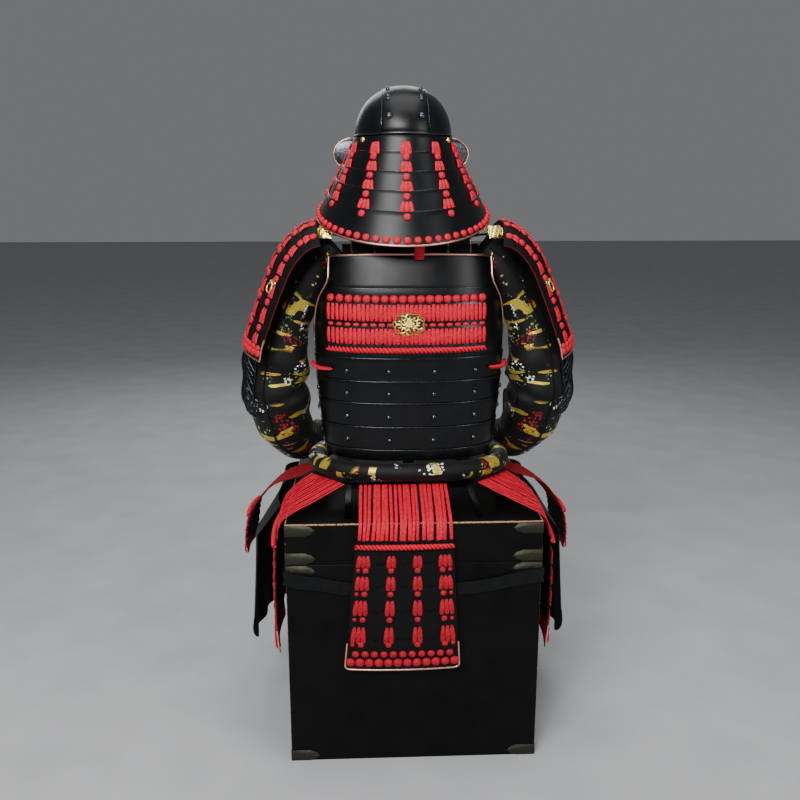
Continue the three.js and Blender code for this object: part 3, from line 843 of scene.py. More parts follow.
# ---- the hanging side tie ----------------------------------------------------------------------------
def side_tie():
    """A soft black cord tied at the right side: a loop, then two short tails in one run."""
    rows = [(-207, 34, 782), (-212, 40, 772), (-221, 47, 752), (-226, 52, 733), (-221, 52, 719),
            (-212, 50, 722), (-207, 47, 736), (-205, 42, 748), (-203, 36, 738), (-203, 38, 712),
            (-203, 41, 684), (-201, 42, 660)]
    line = route(rows)
    spots = [line(i / 36) for i in range(37)]
    tie = one_strand("side_tie_cord", spots, [aside(spot) for spot in spots], (4.8, 4.8), COTTON, "side_tie",
                     sides=10)
    length = sum((b - a).length for a, b in zip(spots, spots[1:])) * MM
    knot = settle(written("side_tie_knot", copies(BALL, [
        (spots[0] + point(-1, 0, 0), point(0, 1, 0), point(0, 0, 1), point(-1, 0, 0), 0.8)])), COTTON)


# ---- storage box -------------------------------------------------------------------------------------
def open_box(name, low, high, open_top, node):
    """Boards glued up as a box with one side open, edges eased."""
    bpy.ops.object.select_all(action="DESELECT")
    bpy.ops.mesh.primitive_cube_add(size=1)
    piece = bpy.context.object
    piece.name = name
    bpy.ops.object.mode_set(mode="EDIT")
    bpy.ops.mesh.select_all(action="SELECT")
    bpy.ops.transform.resize(value=tuple((h - l) * MM for l, h in zip(low, high)))
    bpy.ops.transform.translate(value=tuple((h + l) / 2 * MM for l, h in zip(low, high)))
    bpy.ops.mesh.select_all(action="DESELECT")
    bpy.ops.object.mode_set(mode="OBJECT")
    for face in piece.data.polygons:
        face.select = face.normal.z > 0.5 if open_top else face.normal.z < -0.5
    bpy.ops.object.mode_set(mode="EDIT")
    bpy.ops.mesh.delete(type="FACE")
    bpy.ops.object.mode_set(mode="OBJECT")
    apply_modifier(piece, "SOLIDIFY", thickness=BOX["board"] * MM, offset=-1, use_even_offset=True)
    apply_modifier(piece, "BEVEL", width=1.6 * MM, segments=3)
    settle(smooth(piece), BOX_PAINT, node)


def bracket_leaf():
    """One leaf of a corner bracket, 60 by 24 mm, its free end drawn to a pointed ogee; three nails."""
    outline = [(0, -12), (0, 12), (40, 12), (44, 9.5), (47, 8.6), (50, 8.2), (53, 6), (56, 2.4), (60, 0)]
    outline += [(x, -y) for x, y in reversed(outline[2:-1])]
    bpy.ops.object.select_all(action="DESELECT")
    bpy.ops.mesh.primitive_circle_add(vertices=len(outline), radius=MM, fill_type="NGON")
    leaf = bpy.context.object
    for vertex, (x, y) in zip(leaf.data.vertices, outline):
        vertex.co = (x * MM, y * MM, 0)
    edit_all(bpy.ops.mesh.normals_make_consistent, inside=False)
    if leaf.data.polygons[0].normal.z < 0:
        leaf.data.flip_normals()
    apply_modifier(leaf, "SOLIDIFY", thickness=0.9 * MM, offset=1)
    apply_modifier(leaf, "BEVEL", width=0.3 * MM, segments=1, limit_method="ANGLE",
                   angle_limit=math.radians(60))
    parts = [shape_of(leaf)]
    for x in (12, 30, 49):
        parts += copies(RIVET, [(point(x, 0, 0.8), point(1, 0, 0), point(0, 1, 0), point(0, 0, 1), 0.36)])
    return parts


def brackets():
    x, y = BOX["width"] / 2, BOX["depth"] / 2
    heights = [12.5, BOX["seam"] - 14, BOX["seam"] + 13, BOX["height"] - 13]
    leaf = bracket_leaf()
    up = point(0, 0, 1)
    for sx in (1, -1):
        for sy in (1, -1):
            places = []
            for z in heights:
                places.append((point(sx * x, sy * (y + 0.05), z), point(-sx, 0, 0), up, point(0, sy, 0), 1))
                places.append((point(sx * (x + 0.05), sy * y, z), point(0, -sy, 0), up, point(sx, 0, 0), 1))
            parts = [part for pattern in leaf for part in copies(pattern, places)]
            name = f"corner_brackets_{'left' if sx > 0 else 'right'}_{'back' if sy > 0 else 'front'}"
            settle(written(name, parts), AGED_BRASS_AND_SHADE)


def storage_box():
    x, y, lift = BOX["width"] / 2, BOX["depth"] / 2, 0.5
    open_box("box_body_boards", (-x, -y, 0), (x, y, BOX["seam"] - lift), True, "box_body")
    open_box("box_lid_boards", (-x, -y, BOX["seam"]), (x, y, BOX["height"]), False, "box_lid")
    brackets()


# ---- helmet ------------------------------------------------------------------------------------------
def neck_lame(i):
    top, low = NECK_STEPS[i - 1], NECK_STEPS[i] + (0.03 if i < 5 else 0)

    def face(u, v):
        return neck_guard(NECK_REACH * (1 - 2 * u), mix(top, low, v), 2.3 * (i - 1))
    return face


LACE_TURNS = [0, 33, -33, 66, -66, 97, -97]


def on_bowl(x, along, proud):
    """A place on the bowl, for copies(): where, across, up and out."""
    spot = bowl_over(x, along, proud)
    out = (spot - point(BOWL["centre_x"], BOWL["centre_y"], 1230)).normalized()
    across = point(0, 0, 1).cross(out).normalized()
    return spot, across, out.cross(across), out


def helmet():
    settle(sheet("helmet_bowl_plates", bowl, 72, 20, 2.5, HELMET_HEART, ring=True), IRON, "helmet_bowl")

    def strip(u, v, proud=0.0):
        half = mix(42, 47, abs(2 * v - 1) ** 2)
        return bowl_over((2 * u - 1) * half, mix(0.012, 0.988, v), 1.5 + proud)
    settle(sheet("helmet_crown_strip", strip, 16, 40, 1.4, HELMET_HEART, edge=0.5), IRON)

    # Rivets and pins take the lighter grey metal: painted highlight on their heads.
    rivets = [(*on_bowl(x, along, 1.5), 1.3) for along in (0.105, 0.895) for x in (31, -31)]
    settle(written("helmet_rivets", copies(RIVET, rivets)), HIGHLIT_IRON)
    pins = []
    for x in (32, -32):
        for along, tall in ((0.235, 0.7), (0.262, 0.7), (0.375, 0.9), (0.41, 0.9)):
            spot, across, up, out = on_bowl(x, along, 1.3)
            pins.append((spot, across * 0.85, up * 0.72, out * tall, 1.0))
    settle(written("helmet_pins", copies(RIVET, pins)), HIGHLIT_IRON)
    # Lighter strands along the crown strip's edges: painted highlight on the ridges.
    edge_highlights("helmet_crown_ridges", [[strip(u, i / 48, 0.2) for i in range(49)] for u in (0.0, 1.0)], 0.5)

    # A lighter metal strand round the bowl's rim: painted highlight.
    rim = [bowl(i / 72, 0.0) + point(0, 0, 0.4) for i in range(73)]
    rim = [spot + aside(spot - point(BOWL["centre_x"], BOWL["centre_y"], 0)) * 0.6 for spot in rim]
    one_strand("helmet_rim", rim, [point(0, 0, 1)] * 73, (3.0, 3.0), HIGHLIT_IRON)

    settle(sheet("visor_plate", visor, 30, 6, 2, HELMET_HEART, edge=0.4), IRON, "helmet_visor")
    for side, _, sign in SIDES:
        def ear(u, v, sign=sign):
            return turnback(u, v, sign)
        # The turnback plates take the lighter grey metal: painted reflection on their black face.
        plate = sheet(f"turnback_plate_{side}", ear, 10, 22, 1.5, point(0, -300, 1230))
        settle(plate, HIGHLIT_IRON, f"turnback_{side}")
        border = [ear(0.99, i / 24) for i in range(25)] + [ear(1 - i / 6, 1) for i in range(1, 7)]
        edging(f"turnback_rim_{side}", [border], 1.9)


def edge_highlights(name, lines, radius):
    """Lighter metal strands along the upper edges of lames and plates: a painted highlight on each edge."""
    parts = [strand(line, [point(0, 0, 1)] * len(line), radius * 2, radius * 2, 6, ends=1) for line in lines]
    settle(written(name, parts), HIGHLIT_IRON)


def neck_guard_lames():
    knots, cords, balls, edges = [], [], [], []
    wide = 7.8 / (2 * math.radians(NECK_REACH) * 125)
    for i in range(1, 6):
        face = neck_lame(i)
        plate = sheet(f"neck_guard_lame_{i}", face, 96, 6, 1.5, HELMET_HEART, edge=0.4)
        settle(plate, IRON, f"neck_lame_{i}")
        if i > 1:
            edges.append([face(k / 96, 0.008) for k in range(97)])
        for turn in LACE_TURNS:
            u = (NECK_REACH - turn) / (2 * NECK_REACH)
            count = 2 if abs(turn) > 90 else 3
            if i > 1:
                knots.append(stand_on(face, HELMET_HEART, u, 0.26 if i < 5 else 0.17, 1.2, 0.92))
            for k in range(count if i < 5 else 0):
                off = (k - (count - 1) / 2) * wide
                run = [(u + off * 0.72, 0.34 if i == 1 else 0.47), (u + off * 1.06, 0.99 if i == 1 else 0.9)]
                cords.append(laid_cord(face, HELMET_HEART, run, 1.6, 8.6, 4.6, arch=1.0, ends=0.55))
    last = neck_lame(5)
    for u in even(lambda t: last(t, 0.84), 37, 12):
        balls.append(stand_on(last, HELMET_HEART, float(u), 0.84, 1.4, random.uniform(0.82, 0.9)))
    settle(written("neck_guard_lacing", copies(KNOT, knots) + cords + copies(BALL, balls)), SILK)
    edge_highlights("neck_guard_lips", edges, 0.6)
    edging("neck_guard_rim", [[last(i / 96, 0.985) + point(0, 0, -0.5) for i in range(97)]], 2.2)

    # Gilt studs where the turnbacks' ends are pinned to the first lame.
    studs = [stand_on(neck_lame(1), HELMET_HEART, (NECK_REACH - turn) / (2 * NECK_REACH), 0.22, 0.8)
             for turn in (52, -56)]
    settle(written("neck_guard_studs", copies(RIVET, studs)), GILT)


# ---- cuirass -----------------------------------------------------------------------------------------
LAME_TOPS = [837.3, 831, 783, 737, 686, 636.5, 613]


def band(back, low, high, flare=0.0):
    """One lame of the cuirass, v from its top edge down; the top stands `flare` mm proud."""
    def face(u, v):
        return cuirass(u, mix(high, low, v), back, flare * (1 - v))
    return face


def waist_lames():
    for half, back in (("back", True), ("front", False)):
        plates, edges, places = [], [], []
        for n in range(len(LAME_TOPS) - 1):
            high, low = LAME_TOPS[n], LAME_TOPS[n + 1]
            last = n == len(LAME_TOPS) - 2
            face = band(back, low - (0 if last else 3), high, 0.4 if n == 0 else 2.2)
            plates.append(sheet(f"{half}_lame_{n}", face, 64, 6, 1.4, BODY_HEART, edge=0.3))
            if n:
                edges.append([face(i / 64, 0.01) for i in range(65)])
            if 0 < n < 5:
                heart = point(0, 0, (high + low) / 2)
                us = np.linspace(0, 1, 401)
                for x in (46, -46, 132, -132, 192, -192):
                    near = min(us, key=lambda t, f=face, x=x: abs(f(float(t), 0.5).x - x))
                    places.append(stand_on(face, heart, float(near), 0.55, 0.2))
        settle(joined(f"{half}_waist_lames", plates), IRON, f"{half}_waist_plate")
        # The rivets take the lighter grey metal: painted highlight on their heads.
        settle(written(f"{half}_waist_rivets", copies(RIVET, places)), HIGHLIT_IRON)
        edge_highlights(f"{half}_waist_lips", edges, 0.55)


LACED_HALF = 161
LACED_MIDDLE = 9


def chest(back, high, low, proud=0.0):
    """A level band across the laced part of the chest: u straight across, v straight down."""
    def face(u, v):
        z = mix(high, low, v)
        x = LACED_MIDDLE + mix(LACED_HALF, -LACED_HALF, u)
        a, b = table(DOU_WIDTH, z), table(DOU_BACK if back else DOU_FRONT, z)
        y = (b + proud) * (1 - min(abs(x) / (a + proud), 0.999) ** 2.5) ** 0.4
        return point(x, y if back else -y, z)
    return face


def scalloped(back, z, height, count):
    """A narrow strip of plate with its upper edge cut in scallops."""
    def face(u, v):
        bite = abs(math.sin(math.pi * count * u)) ** 0.5
        return chest(back, z + height * mix(0.3, 1, bite), z, 1.8)(u, v)
    return sheet("scallops", face, count * 8, 2, 1.4, BODY_HEART)


def dense_row(back, high, low, count):
    """A close row of upright cords with rounded ends, each a little askew."""
    face = chest(back, high, low)
    parts = []
    for i in range(count):
        u = (i + 0.5) / count
        lean = random.uniform(-0.0014, 0.0014)
        run = [(u - lean, random.uniform(0.0, 0.05)), (u + lean, random.uniform(0.95, 1.0))]
        wide = 2 * LACED_HALF / count * random.uniform(1.0, 1.1)
        parts.append(laid_cord(face, BODY_HEART, run, 1.9, wide, 5.4, steps=7, ends=0.68, arch=1.2,
                               tucked=False))
    return parts


def chest_back():
    settle(sheet("back_chest_board", band(True, 837.5, 970), 64, 8, 2, BODY_HEART, edge=0.4),
           IRON, "back_laced_plate")
    knots = []
    top, small = chest(True, 955, 945), chest(True, 902, 895)
    for i in range(18):
        knots.append(stand_on(top, BODY_HEART, (i + 0.5) / 18, 0.5, 1.2, random.uniform(0.98, 1.06)))
    for i in range(19):
        where, across, up, out, size = stand_on(small, BODY_HEART, (i + 0.5) / 19, 0.5, 1.4)
        knots.append((where, across * 0.8, up * 0.5, out * 0.7, size))
    parts = copies(BALL, knots) + dense_row(True, 940, 905.5, 37) + dense_row(True, 892, 859, 37)
    settle(written("back_chest_lacing", parts), SILK)
    # The scalloped strips take the lighter grey metal: painted highlight on their edges.
    ridges = [scalloped(True, 937.5, 7, 18), scalloped(True, 891, 11, 19), scalloped(True, 853, 8, 20)]
    settle(joined("back_chest_scallops", ridges), HIGHLIT_IRON)
    line, normals = raised(chest(True, 849, 847, 5.2), BODY_HEART, [(i / 60, 0.5) for i in range(61)])
    settle(written("back_chest_rope", rope(line, normals, 6.6, 17)), SILK)


def chest_front():
    settle(sheet("front_chest_board", band(False, 837.5, 915), 64, 8, 2, BODY_HEART, edge=0.4),
           IRON, "front_laced_plate")
    parts = dense_row(False, 908, 876, 37) + dense_row(False, 870, 840, 37)
    settle(written("front_chest_lacing", parts), SILK)


def top_plates():
    def back_face(u, v):
        spot = cuirass(u, mix(1031, 970.5, v), True)
        spot.z += 6 * (1 - v) * math.sin(math.pi * u)
        return spot

    def front_face(u, v):
        spot = cuirass(u, mix(972, 915.5, v), False)
        spot.z -= 14 * (1 - v) * math.sin(math.pi * u)
        return spot

    def border(face, back, low, high, step):
        """Up one side of the plate, along its top edge and down the other side."""
        sides = [[cuirass(u, z, back, 0.2) for z in range(low, high, step)] for u in (0.0, 1.0)]
        return sides[0] + [face(i / 40, 0) for i in range(41)] + sides[1][::-1]

    settle(sheet("back_top_board", back_face, 48, 8, 2, BODY_HEART, edge=0.4), IRON, "back_top_plate")
    settle(sheet("front_top_board", front_face, 48, 8, 2, BODY_HEART, edge=0.4), IRON, "front_top_plate")
    # A lighter strand along the top plate's lower edge: painted highlight.
    edge_highlights("back_top_lip", [[cuirass(i / 64, 970.2, True, 0.5) for i in range(65)]], 0.8)
    rims = [border(back_face, True, 860, 1031, 10), border(front_face, False, 850, 972, 8)]
    edging("cuirass_rims", rims, 2.3)


def scroll_boss():
    """The gilt openwork boss: leafy scrolls round a small open flower, inside a lobed edge."""
    def flat(x, z, lift=0.0):
        return point(6 + x, 125.2 + lift, 901 + z)
    # A dark brass dome behind the openwork scrolls: painted shade in the gaps between them.
    shade_backing = (flat(0, 0, 0.2), point(4.7, 0, 0), point(0, 0, 3.4), point(0, 0.16, 0), 1.0)
    settle(written("back_boss_ground", copies(RIVET, [shade_backing])), AGED_BRASS_AND_SHADE)
    out = point(0, 1, 0)
    edge = []
    for i in range(89):
        turn = i / 88 * 2 * math.pi
        wave = 1 + 0.06 * math.cos(turn * 9)
        x, z = 30 * power(math.cos(turn), 0.8) * wave, 21.5 * power(math.sin(turn), 0.8) * wave
        edge.append(flat(x, z, 1.8))
    parts = [strand(edge, [out] * len(edge), 3.6, 4.6, 6, ends=1)]
    for ring, reach, tall, curl_size in ((10, 20.5, 14.0, 7.6), (7, 10.5, 7.6, 5.4)):
        for i in range(ring):
            turn = (i + 0.5) / ring * 2 * math.pi
            cx, cz = reach * math.cos(turn), tall * math.sin(turn)
            sense = 1 if i % 2 else -1
            curl = []
            for k in range(15):
                a = turn + sense * k * 0.42
                r = curl_size * (1 - k / 17)
                curl.append(flat(cx + r * math.cos(a), cz + r * 0.85 * math.sin(a), 2.4 + 1.6 * k / 14))
            parts.append(strand(curl, [out] * len(curl), 3.5, 3.4, 6, ends=0.6))
    petals = []
    for i in range(8):
        turn = i / 8 * 2 * math.pi
        along, up = point(math.cos(turn), 0, math.sin(turn)), point(-math.sin(turn), 0, math.cos(turn))
        spot = flat(6.2 * math.cos(turn), 5.2 * math.sin(turn), 4.0)
        petals.append((spot, along * 0.4, up * 0.32, out * 0.5, 1.0))
    parts += copies(BALL, petals)
    parts += copies(RIVET, [(flat(0, 0, 4.0), point(1, 0, 0), point(0, 0, 1), out, 0.6)])
    settle(written("back_scroll_boss", parts), GILT, "back_ornament")


def straps_and_cords():
    for side, place, sign in SIDES:
        pad = sheet(f"shoulder_strap_pad_{side}", place(strap), 10, 40, 3, point(90 * sign, 0, 900), edge=0.8)
        settle(pad, COTTON, f"shoulder_strap_{side}")
        rims = [[place(strap)(u, i / 40) for i in range(41)] for u in (0.0, 1.0)]
        edging(f"shoulder_strap_rims_{side}", rims, 1.5)
        line = []
        for i in range(25):
            spot = cuirass(mix(0.225, 0.006, i / 24), 806, True, 7)
            line.append(point(spot.x * sign, spot.y + 1, spot.z - 3 * math.sin(i / 24 * math.pi)))
        twist = rope(line, [aside(spot) for spot in line], 4.9, 13)
        settle(written(f"side_cord_twist_{side}", twist), SILK, f"side_cord_{side}")

    # The helmet's woven cord shows under the neck guard, between the straps.
    spots = [point(-15, 116 - 3 * math.cos(i / 8 * math.pi), mix(1027, 1066, i / 8)) for i in range(9)]
    one_strand("helmet_cord", spots, [point(0, 1, 0)] * 9, (20, 3.2), SILK, ends=0.8)


def roll():
    piece = sheet("waist_roll_padding", waist_roll, 120, 20, 0, point(0, 0, 591), ring=True,
                  cloth=(1.12, 0.12))
    only(piece)
    edit_all(bpy.ops.mesh.normals_make_consistent, inside=False)
    for vertex in piece.data.vertices:
        turn = math.atan2(vertex.co.y, vertex.co.x)
        crease = 0.6 * math.sin(turn * 26 + 2 * math.sin(turn * 7)) + 0.4 * math.sin(turn * 61)
        vertex.co.z += 0.0007 * crease
    settle(piece, ROLL_SILK, "waist_roll")


# ---- skirt -------------------------------------------------------------------------------------------
# Where each of the five lames begins, as a share of the way from the first to the hem.
LAME_SHARES = [0.0, 0.155, 0.375, 0.585, 0.79, 1.0]
LAME_START = 4 / 6 + 0.036


def tasset_cords(tag, face, count):
    """The flat cords, uneven in width and spacing, from the waist to the first lame."""
    parts = []
    plump = tag == "back"
    share, thick = ((0.68, 0.98), 3.8) if plump else ((0.48, 0.66), 2.0)
    stray = 0.013 if plump else 0.009
    for u in even(lambda t: face(t, 0.45), count, 6):
        length = (face(0, 0.3) - face(1, 0.3)).length
        wide = length / count * random.uniform(*share)
        top, low = u + random.uniform(-stray, stray), u + random.uniform(-stray, stray)
        line, normals = [], []
        for i in range(15):
            v = mix(0.0, 4 / 6 - 0.012, i / 14)
            at = min(max(mix(top, low, i / 14), 0), 1)
            out, _ = outward(face, SKIRT_HEART, at, v)
            line.append(face(at, v) + out * random.uniform(0.2, 1.2))
            normals.append(out)
        parts.append(strand(line, normals, wide, thick, 8, ends=1))
    # The side tassets' cords take the darker copy of the red silk: painted shade.
    finish = SHADED_SILK if tag.startswith("side") else SILK
    settle(written(f"tasset_cords_{tag}_silk", parts), finish, f"tasset_cords_{tag}")


def tasset_lame(face, start, end):
    """One lame: its upper edge is cut in scallops and stands over the one above it."""
    def lame(u, v, proud=0.0):
        bite = abs(math.sin(math.pi * 12 * u)) ** 0.6
        local = v - 0.085 * bite * (1 - v) ** 6
        return face(u, mix(start, end, local), mix(3.2, 0.4, v) + proud)
    return lame


def tasset(name, place, side, count):
    tag = f"{name}_{side}" if side else name
    plain = tasset_face(name)

    def face(u, v, proud=0.0):
        return place(lambda a, b: plain(a, b, proud))(u, v)
    tasset_cords(tag, face, count)
    lames = [sheet("lame", tasset_lame(face, LAME_START - 0.05, LAME_START + 0.012), 72, 6, 1.5, SKIRT_HEART)]
    knots, cords, balls = [], [], []
    starts = [mix(LAME_START, 1, share) for share in LAME_SHARES]
    across = (face(0, 0.85) - face(1, 0.85)).length
    cord_step = 9.6 / across
    for i in range(5):
        lame = tasset_lame(face, starts[i], starts[i + 1] + (0.012 if i < 4 else 0))
        lames.append(sheet("lame", lame, 72, 6, 1.5, SKIRT_HEART))
        for c, u in enumerate((0.095, 0.37, 0.63, 0.905)):
            outer = c in (0, 3)
            lean = (-cord_step if c == 0 else cord_step) * 0.6 if outer else 0
            if i:
                at = 0.19 if i < 4 else 0.13
                knots.append(stand_on(lame, SKIRT_HEART, u - lean, at, 1.0, 0.8))
                if outer:
                    knots.append(stand_on(lame, SKIRT_HEART, u + lean * 1.7, at, 0.9, 0.55))
            number = 3 if outer else 2
            for k in range(number if i < 4 else 0):
                off = (k - (number - 1) / 2) * cord_step
                run = [(u + off * 0.85, 0.4 if i else 0.22), (u + off * 1.08, 0.88)]
                cords.append(laid_cord(lame, SKIRT_HEART, run, 0.8, 10.0, 5.0, arch=2.0, ends=0.45))
    for v, total, size, inset in ((0.42, 11, 0.9, 19), (0.72, 12, 1.1, 10)):
        for u in even(lambda t, v=v: lame(t, v), total, inset):
            balls.append(stand_on(lame, SKIRT_HEART, float(u), v, 1.6, size * random.uniform(0.96, 1.04)))

    # The rim runs down one side, round both lower corners and up the other side.
    drop = [(0.0, mix(0.05, 0.88, k / 12)) for k in range(13)]
    drop += [(0.05 * (1 - math.cos(a)), 0.88 + 0.115 * math.sin(a)) for a in (0.5, 1.0, 1.35)]
    border = drop + [(mix(0.055, 0.945, k / 30), 0.998) for k in range(31)]
    border += [(1 - u, v) for u, v in reversed(drop)]
    edging(f"tasset_rim_{tag}", [[lame(u, v, 0.4) for u, v in border]], 2.1)
    settle(joined(f"tasset_lames_{tag}", lames), LEATHER, f"tasset_{tag}")
    # The lames' lacing takes the darker copy of the red silk: painted shade.
    settle(written(f"tasset_lacing_{tag}", copies(KNOT, knots) + cords + copies(BALL, balls)), SHADED_SKIRT_SILK)
    run = [(mix(0.005, 0.995, i / 40), LAME_START - 0.023) for i in range(41)]
    settle(written(f"tasset_rope_{tag}", rope(*raised(face, SKIRT_HEART, run, 6.4), 6.2, 16)), SILK)


def skirt():
    tasset("back", same, "", 21)
    for side, place, _ in SIDES:
        for name, count in (("rear", 14), ("side", 18), ("front", 17)):
            tasset(name, place, side, count)


# ---- shoulder guards ----------------------------------------------------------------------------------
def guard_set(side, place, sign):
    face = place(shoulder_guard)
    heart = point(120 * sign, 0, 860)
    lames, knots, cords, balls = [], [], [], []
    edges = [0.0, 0.16, 0.3, 0.44, 0.58, 0.72, 0.86, 1.0]
    for i in range(7):
        def lame(u, v, low=edges[i], high=edges[i + 1] + (0.012 if i < 6 else 0)):
            return face(u, mix(low, high, v), mix(2.6, 0.3, v))
        lames.append(sheet(f"guard_lame_{i}", lame, 32, 6, 1.5, heart, edge=0.3))
        for u in (0.1, 0.3, 0.5, 0.7, 0.9) if i < 6 else ():
            knots.append(stand_on(lame, heart, u, 0.22, 1.1, 0.98))
            for off in (-0.019, 0.019):
                run = [(u + off * 0.8, 0.44), (u + off, 0.94)]
                cords.append(laid_cord(lame, heart, run, 1.7, 10.2, 4.8, arch=1.2, ends=0.45))
    for v, total, size in ((0.25, 15, 0.8), (0.62, 16, 1.0)):
        for u in even(lambda t, v=v: lame(t, v), total, 10):
            balls.append(stand_on(lame, heart, float(u), v, 1.3, size))
    settle(joined(f"shoulder_guard_lames_{side}", lames), LEATHER, f"shoulder_guard_{side}")
    parts = copies(KNOT, knots) + cords + copies(BALL, balls)
    settle(written(f"shoulder_guard_lacing_{side}", parts), SILK)
    rim = [face(0.0, i / 40, 1.6) for i in range(32, 41)]
    rim += [face(i / 30, 1.0, 1.2) for i in range(1, 30)]
    rim += [face(1.0, 1 - i / 40, 1.6) for i in range(9)]
    edging(f"shoulder_guard_rim_{side}", [rim], 2.1)
    # The piping takes the darker copy of the red silk: painted shade.
    piping = [[face(u, i / 40, 1.0) for i in range(33)] for u in (0.0, 1.0)]
    parts = [strand(line, [point(sign, 0, 0.4).normalized()] * 33, 1.4, 1.4, 6, ends=1) for line in piping]
    settle(written(f"shoulder_guard_piping_{side}", parts), SHADED_SILK)

    # The black cord that ties the guard's top to the shoulder strap, through the gilt toggle.
    top = [point(sign * x, 58, z) for x, z in
           ((112, 1066), (126, 1070), (142, 1073), (160, 1074), (176, 1077), (190, 1082), (200, 1090))]
    one_strand(f"shoulder_guard_tie_{side}", top, [point(0, 0, 1)] * 7, (10, 4.5), COTTON)
    buckle(side, sign)


def buckle(side, sign):
    """A gilt buckle plate, domed and chased in wavelets, with two loops that hold the cord."""
    bpy.ops.object.select_all(action="DESELECT")
    bpy.ops.mesh.primitive_grid_add(x_subdivisions=22, y_subdivisions=22, size=2)
    plate = bpy.context.object
    tilt = math.radians(30)
    out = point(0, math.cos(tilt), math.sin(tilt))
    across = point(math.cos(0.2), -math.sin(0.2) * sign * math.cos(tilt), 0.0).normalized()
    up = out.cross(across).normalized() * -1
    middle = point(171 * sign, 62, 1077) + out * 1.0
    for vertex in plate.data.vertices:
        x, y = vertex.co.x, vertex.co.y
        reach = max(abs(x), abs(y))
        dome = 3.0 * (1 - x * x) ** 0.5 * (1 - y * y) ** 0.5 if reach < 1 else 0
        chase = 0.9 * math.sin(x * 9 + 2 * math.sin(y * 7)) * math.sin(y * 11) * (1 - reach ** 4)
        vertex.co = (middle + across * x * 13.5 + up * y * 14 + out * (2.4 + dome + chase)) * MM
    if plate.data.polygons[100].normal.dot(out) < 0:
        plate.data.flip_normals()
    apply_modifier(plate, "SOLIDIFY", thickness=2.2 * MM, offset=-1)
    parts = []
    for edge in (-1, 1):
        loop = [middle + across * edge * 14.5 + up * 8 * math.cos(a) + out * (2.4 + 4 * math.sin(a))
                for a in np.linspace(0, 2 * math.pi, 17)]
        parts.append(strand(loop, [across] * 17, 3.2, 3.2, 8, ends=1))
    whole = joined(f"buckle_{side}", [smooth(plate, 60), written("loops", parts)])
    settle(whole, GILT, f"clasp_{side}")


# ---- sleeves -----------------------------------------------------------------------------------------
def creased(turn, v, proud=0.0):
    """The sleeve with soft slanting folds gathered at the bend of the elbow."""
    bend = math.exp(-((v - 0.55) / 0.16) ** 2)
    lean = v * 46 + 2.2 * math.sin(turn + 0.6)
    fold = 2.4 * bend * math.sin(lean) + 1.3 * math.sin(v * 33 - turn * 2) * math.sin(math.pi * v)
    inner = 0.3 + 0.7 * max(0.0, math.cos(turn - 2.3))
    pinch = v - 0.555 - 0.03 * math.cos(turn)
    fold += inner * (2.6 * math.exp(-((pinch - 0.03) / 0.02) ** 2) - 5.0 * math.exp(-(pinch / 0.013) ** 2))
    return SLEEVE(turn, v, proud + fold - 1.0)


def sleeve_yoke():
    """The black cloth that joins the two sleeves behind the neck, under the straps."""
    def face(u, v):
        x = mix(138, -138, u)
        return point(x, 60 - 3 * (x / 138) ** 2 + 0.8 * math.sin(u * 40), mix(1055, 1004, v))
    cloth = sheet("sleeve_yoke_cloth", face, 60, 8, 1.6, point(0, -400, 1030), cloth=(0.28, 0.052))
    settle(cloth, COTTON, "sleeve_yoke")


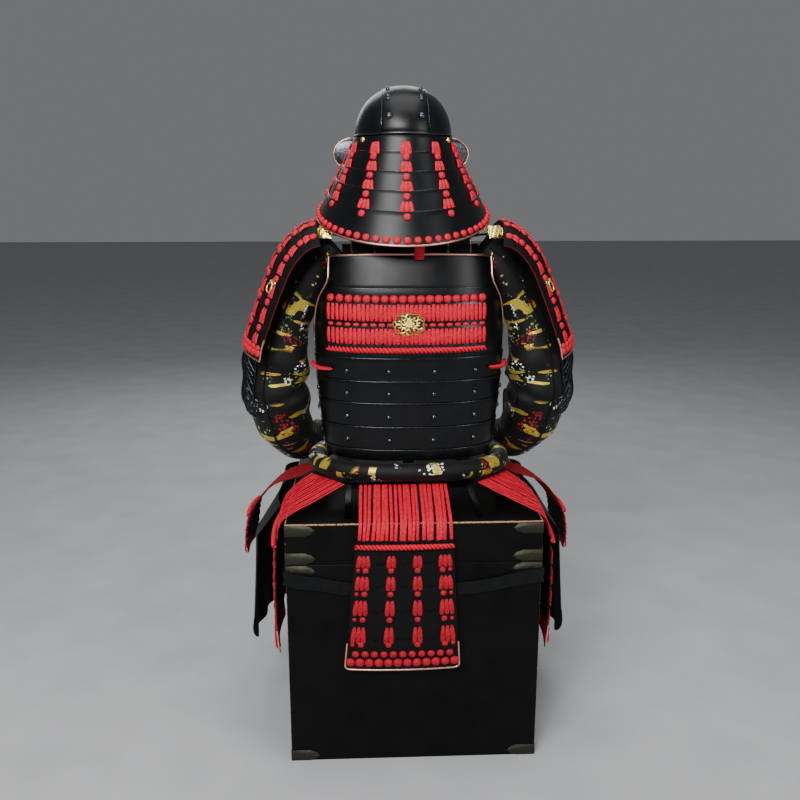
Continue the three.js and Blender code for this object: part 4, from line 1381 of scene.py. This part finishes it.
def sleeve_set(side, place, sign):
    def tube(u, v):
        return place(lambda a, b: creased(a * 2 * math.pi, b))(u, v)
    heart = point(285 * sign, 0, 770)
    cloth = sheet(f"sleeve_cloth_{side}", tube, 96, 110, 1.6, heart, ring=True, cloth=(0.36, 0.66))
    settle(cloth, SLEEVE_SILK, f"sleeve_{side}")
    for part, v, row, finish in (("hem", 0.997, SLEEVE_ROWS[-1], GOLD_BRAID),
                                 ("binding", 0.003, SLEEVE_ROWS[0], COTTON)):
        middle = point(row[0] * sign, row[1], row[2])
        line = [tube(i / 48, v) for i in range(49)]
        facing = [(spot - middle).normalized() for spot in line]
        one_strand(f"sleeve_{part}_{side}", line, facing, (7, 4), finish)

    # The dark braid over the sleeve's back seam.
    braid, normals = [], []
    for i in range(61):
        turn, v = math.radians(mix(77, 70, i / 60)), mix(0.02, 0.97, i / 60)
        spot, inner = (place(lambda a, b, lift=lift: creased(a, b, lift))(turn, v) for lift in (1.6, -6))
        braid.append(spot)
        normals.append((spot - inner).normalized())
    settle(written(f"sleeve_braid_{side}", rope(braid, normals, 2.6, 10)), COTTON)

    # Braided mail over the elbow: two slanting sets of flat braid inside a border.
    def net(u, v):
        return place(lambda a, b: creased(mix(-1.2, 0.95, a), mix(0.39, 0.6, b), 4.4))(u, v)
    parts = []
    for k in range(-7, 12):
        for sense in (1, -1):
            run = [((k + 0.5) / 10 + sense * (i / 24 - 0.5) * 0.9, i / 24) for i in range(25)]
            run = [(u, v) for u, v in run if 0 <= u <= 1]
            if len(run) > 3:
                parts.append(strand(*raised(net, heart, run, 1.2 if sense > 0 else 0.2), 4.6, 3.2, 6, ends=1))
    steps = [i / 24 for i in range(25)]
    borders = [[(t, v) for t in steps] for v in (0.0, 1.0)] + [[(u, t) for t in steps] for u in (0.0, 1.0)]
    parts += [strand(*raised(net, heart, run), 6, 3, 6, ends=1) for run in borders]
    settle(written(f"elbow_mail_braid_{side}", parts), MAIL_IRON, f"elbow_mail_{side}")

    def back_of_hand(u, v):
        return place(lambda a, b: HAND(mix(-0.9, 1.6, a), b, 3))(u, v)
    shell = sheet(f"hand_guard_plate_{side}", back_of_hand, 24, 14, 2, point(168 * sign, -202, 578), edge=0.4)
    settle(shell, IRON, f"hand_guard_{side}")
    rim = [back_of_hand(0.0, i / 12) for i in range(13)]
    rim += [back_of_hand(i / 18, 1.0) for i in range(1, 18)]
    rim += [back_of_hand(1.0, 1 - i / 12) for i in range(13)]
    edging(f"hand_guard_rim_{side}", [rim], 1.3)


# ---- thigh guards ------------------------------------------------------------------------------------
def thigh_set(side, place, sign):
    cloth = sheet(f"thigh_guard_cloth_{side}", place(thigh_guard), 96, 40, 2, point(60 * sign, 0, 300),
                  cloth=(0.62, 0.36))
    settle(cloth, COTTON, f"thigh_guard_{side}")
    line = [place(thigh_guard)(i / 80, 0.995) for i in range(81)]
    facing = [aside(spot - point(60 * sign, 0, 0)) for spot in line]
    hem = one_strand(f"thigh_guard_hem_{side}", line, facing, (5, 3.4), COTTON)


def thigh_tie():
    def draped(u, v):
        spot = tie_band(u, v)
        ripple = 1.6 * math.sin(v * 9 + u * 24) * math.sin(math.pi * v)
        flow = aside(spot)
        spot.z += 1.4 * math.sin(u * 31) + 0.8 * math.sin(u * 57)
        return spot + flow * ripple
    cloth = sheet("thigh_guard_tie_band", draped, 200, 8, 1.4, point(0, 0, 400))
    settle(cloth, COTTON, "thigh_guard_tie")


# ---- carried-over hard parts ---------------------------------------------------------------------------
def carried_over():
    # The stand frame takes the lighter grey metal: painted highlight on its bars.
    finishes = {
        "stand_base": STAND_PAINT, "stand_frame": HIGHLIT_IRON, "stand_head": COTTON,
        "ring_left": GILT, "ring_right": GILT, "ring_mount_left": GILT, "ring_mount_right": GILT,
    }
    for name, finish in finishes.items():
        piece = bpy.data.objects[name]
        if not piece.material_slots:
            piece.data.materials.append(finish)
        for slot in piece.material_slots:
            slot.material = finish


def floor():
    bpy.ops.object.select_all(action="DESELECT")
    bpy.ops.mesh.primitive_plane_add(size=40)
    ground = bpy.context.object
    ground.name = "studio_floor"
    ground.data.materials.append(floor_paint())


aim_camera()
side_tie()
studio()
floor()
carried_over()
storage_box()
helmet()
neck_guard_lames()
waist_lames()
chest_back()
chest_front()
top_plates()
scroll_boss()
straps_and_cords()
roll()
skirt()
sleeve_yoke()
for each_side in SIDES:
    guard_set(*each_side)
    sleeve_set(*each_side)
    thigh_set(*each_side)
thigh_tie()
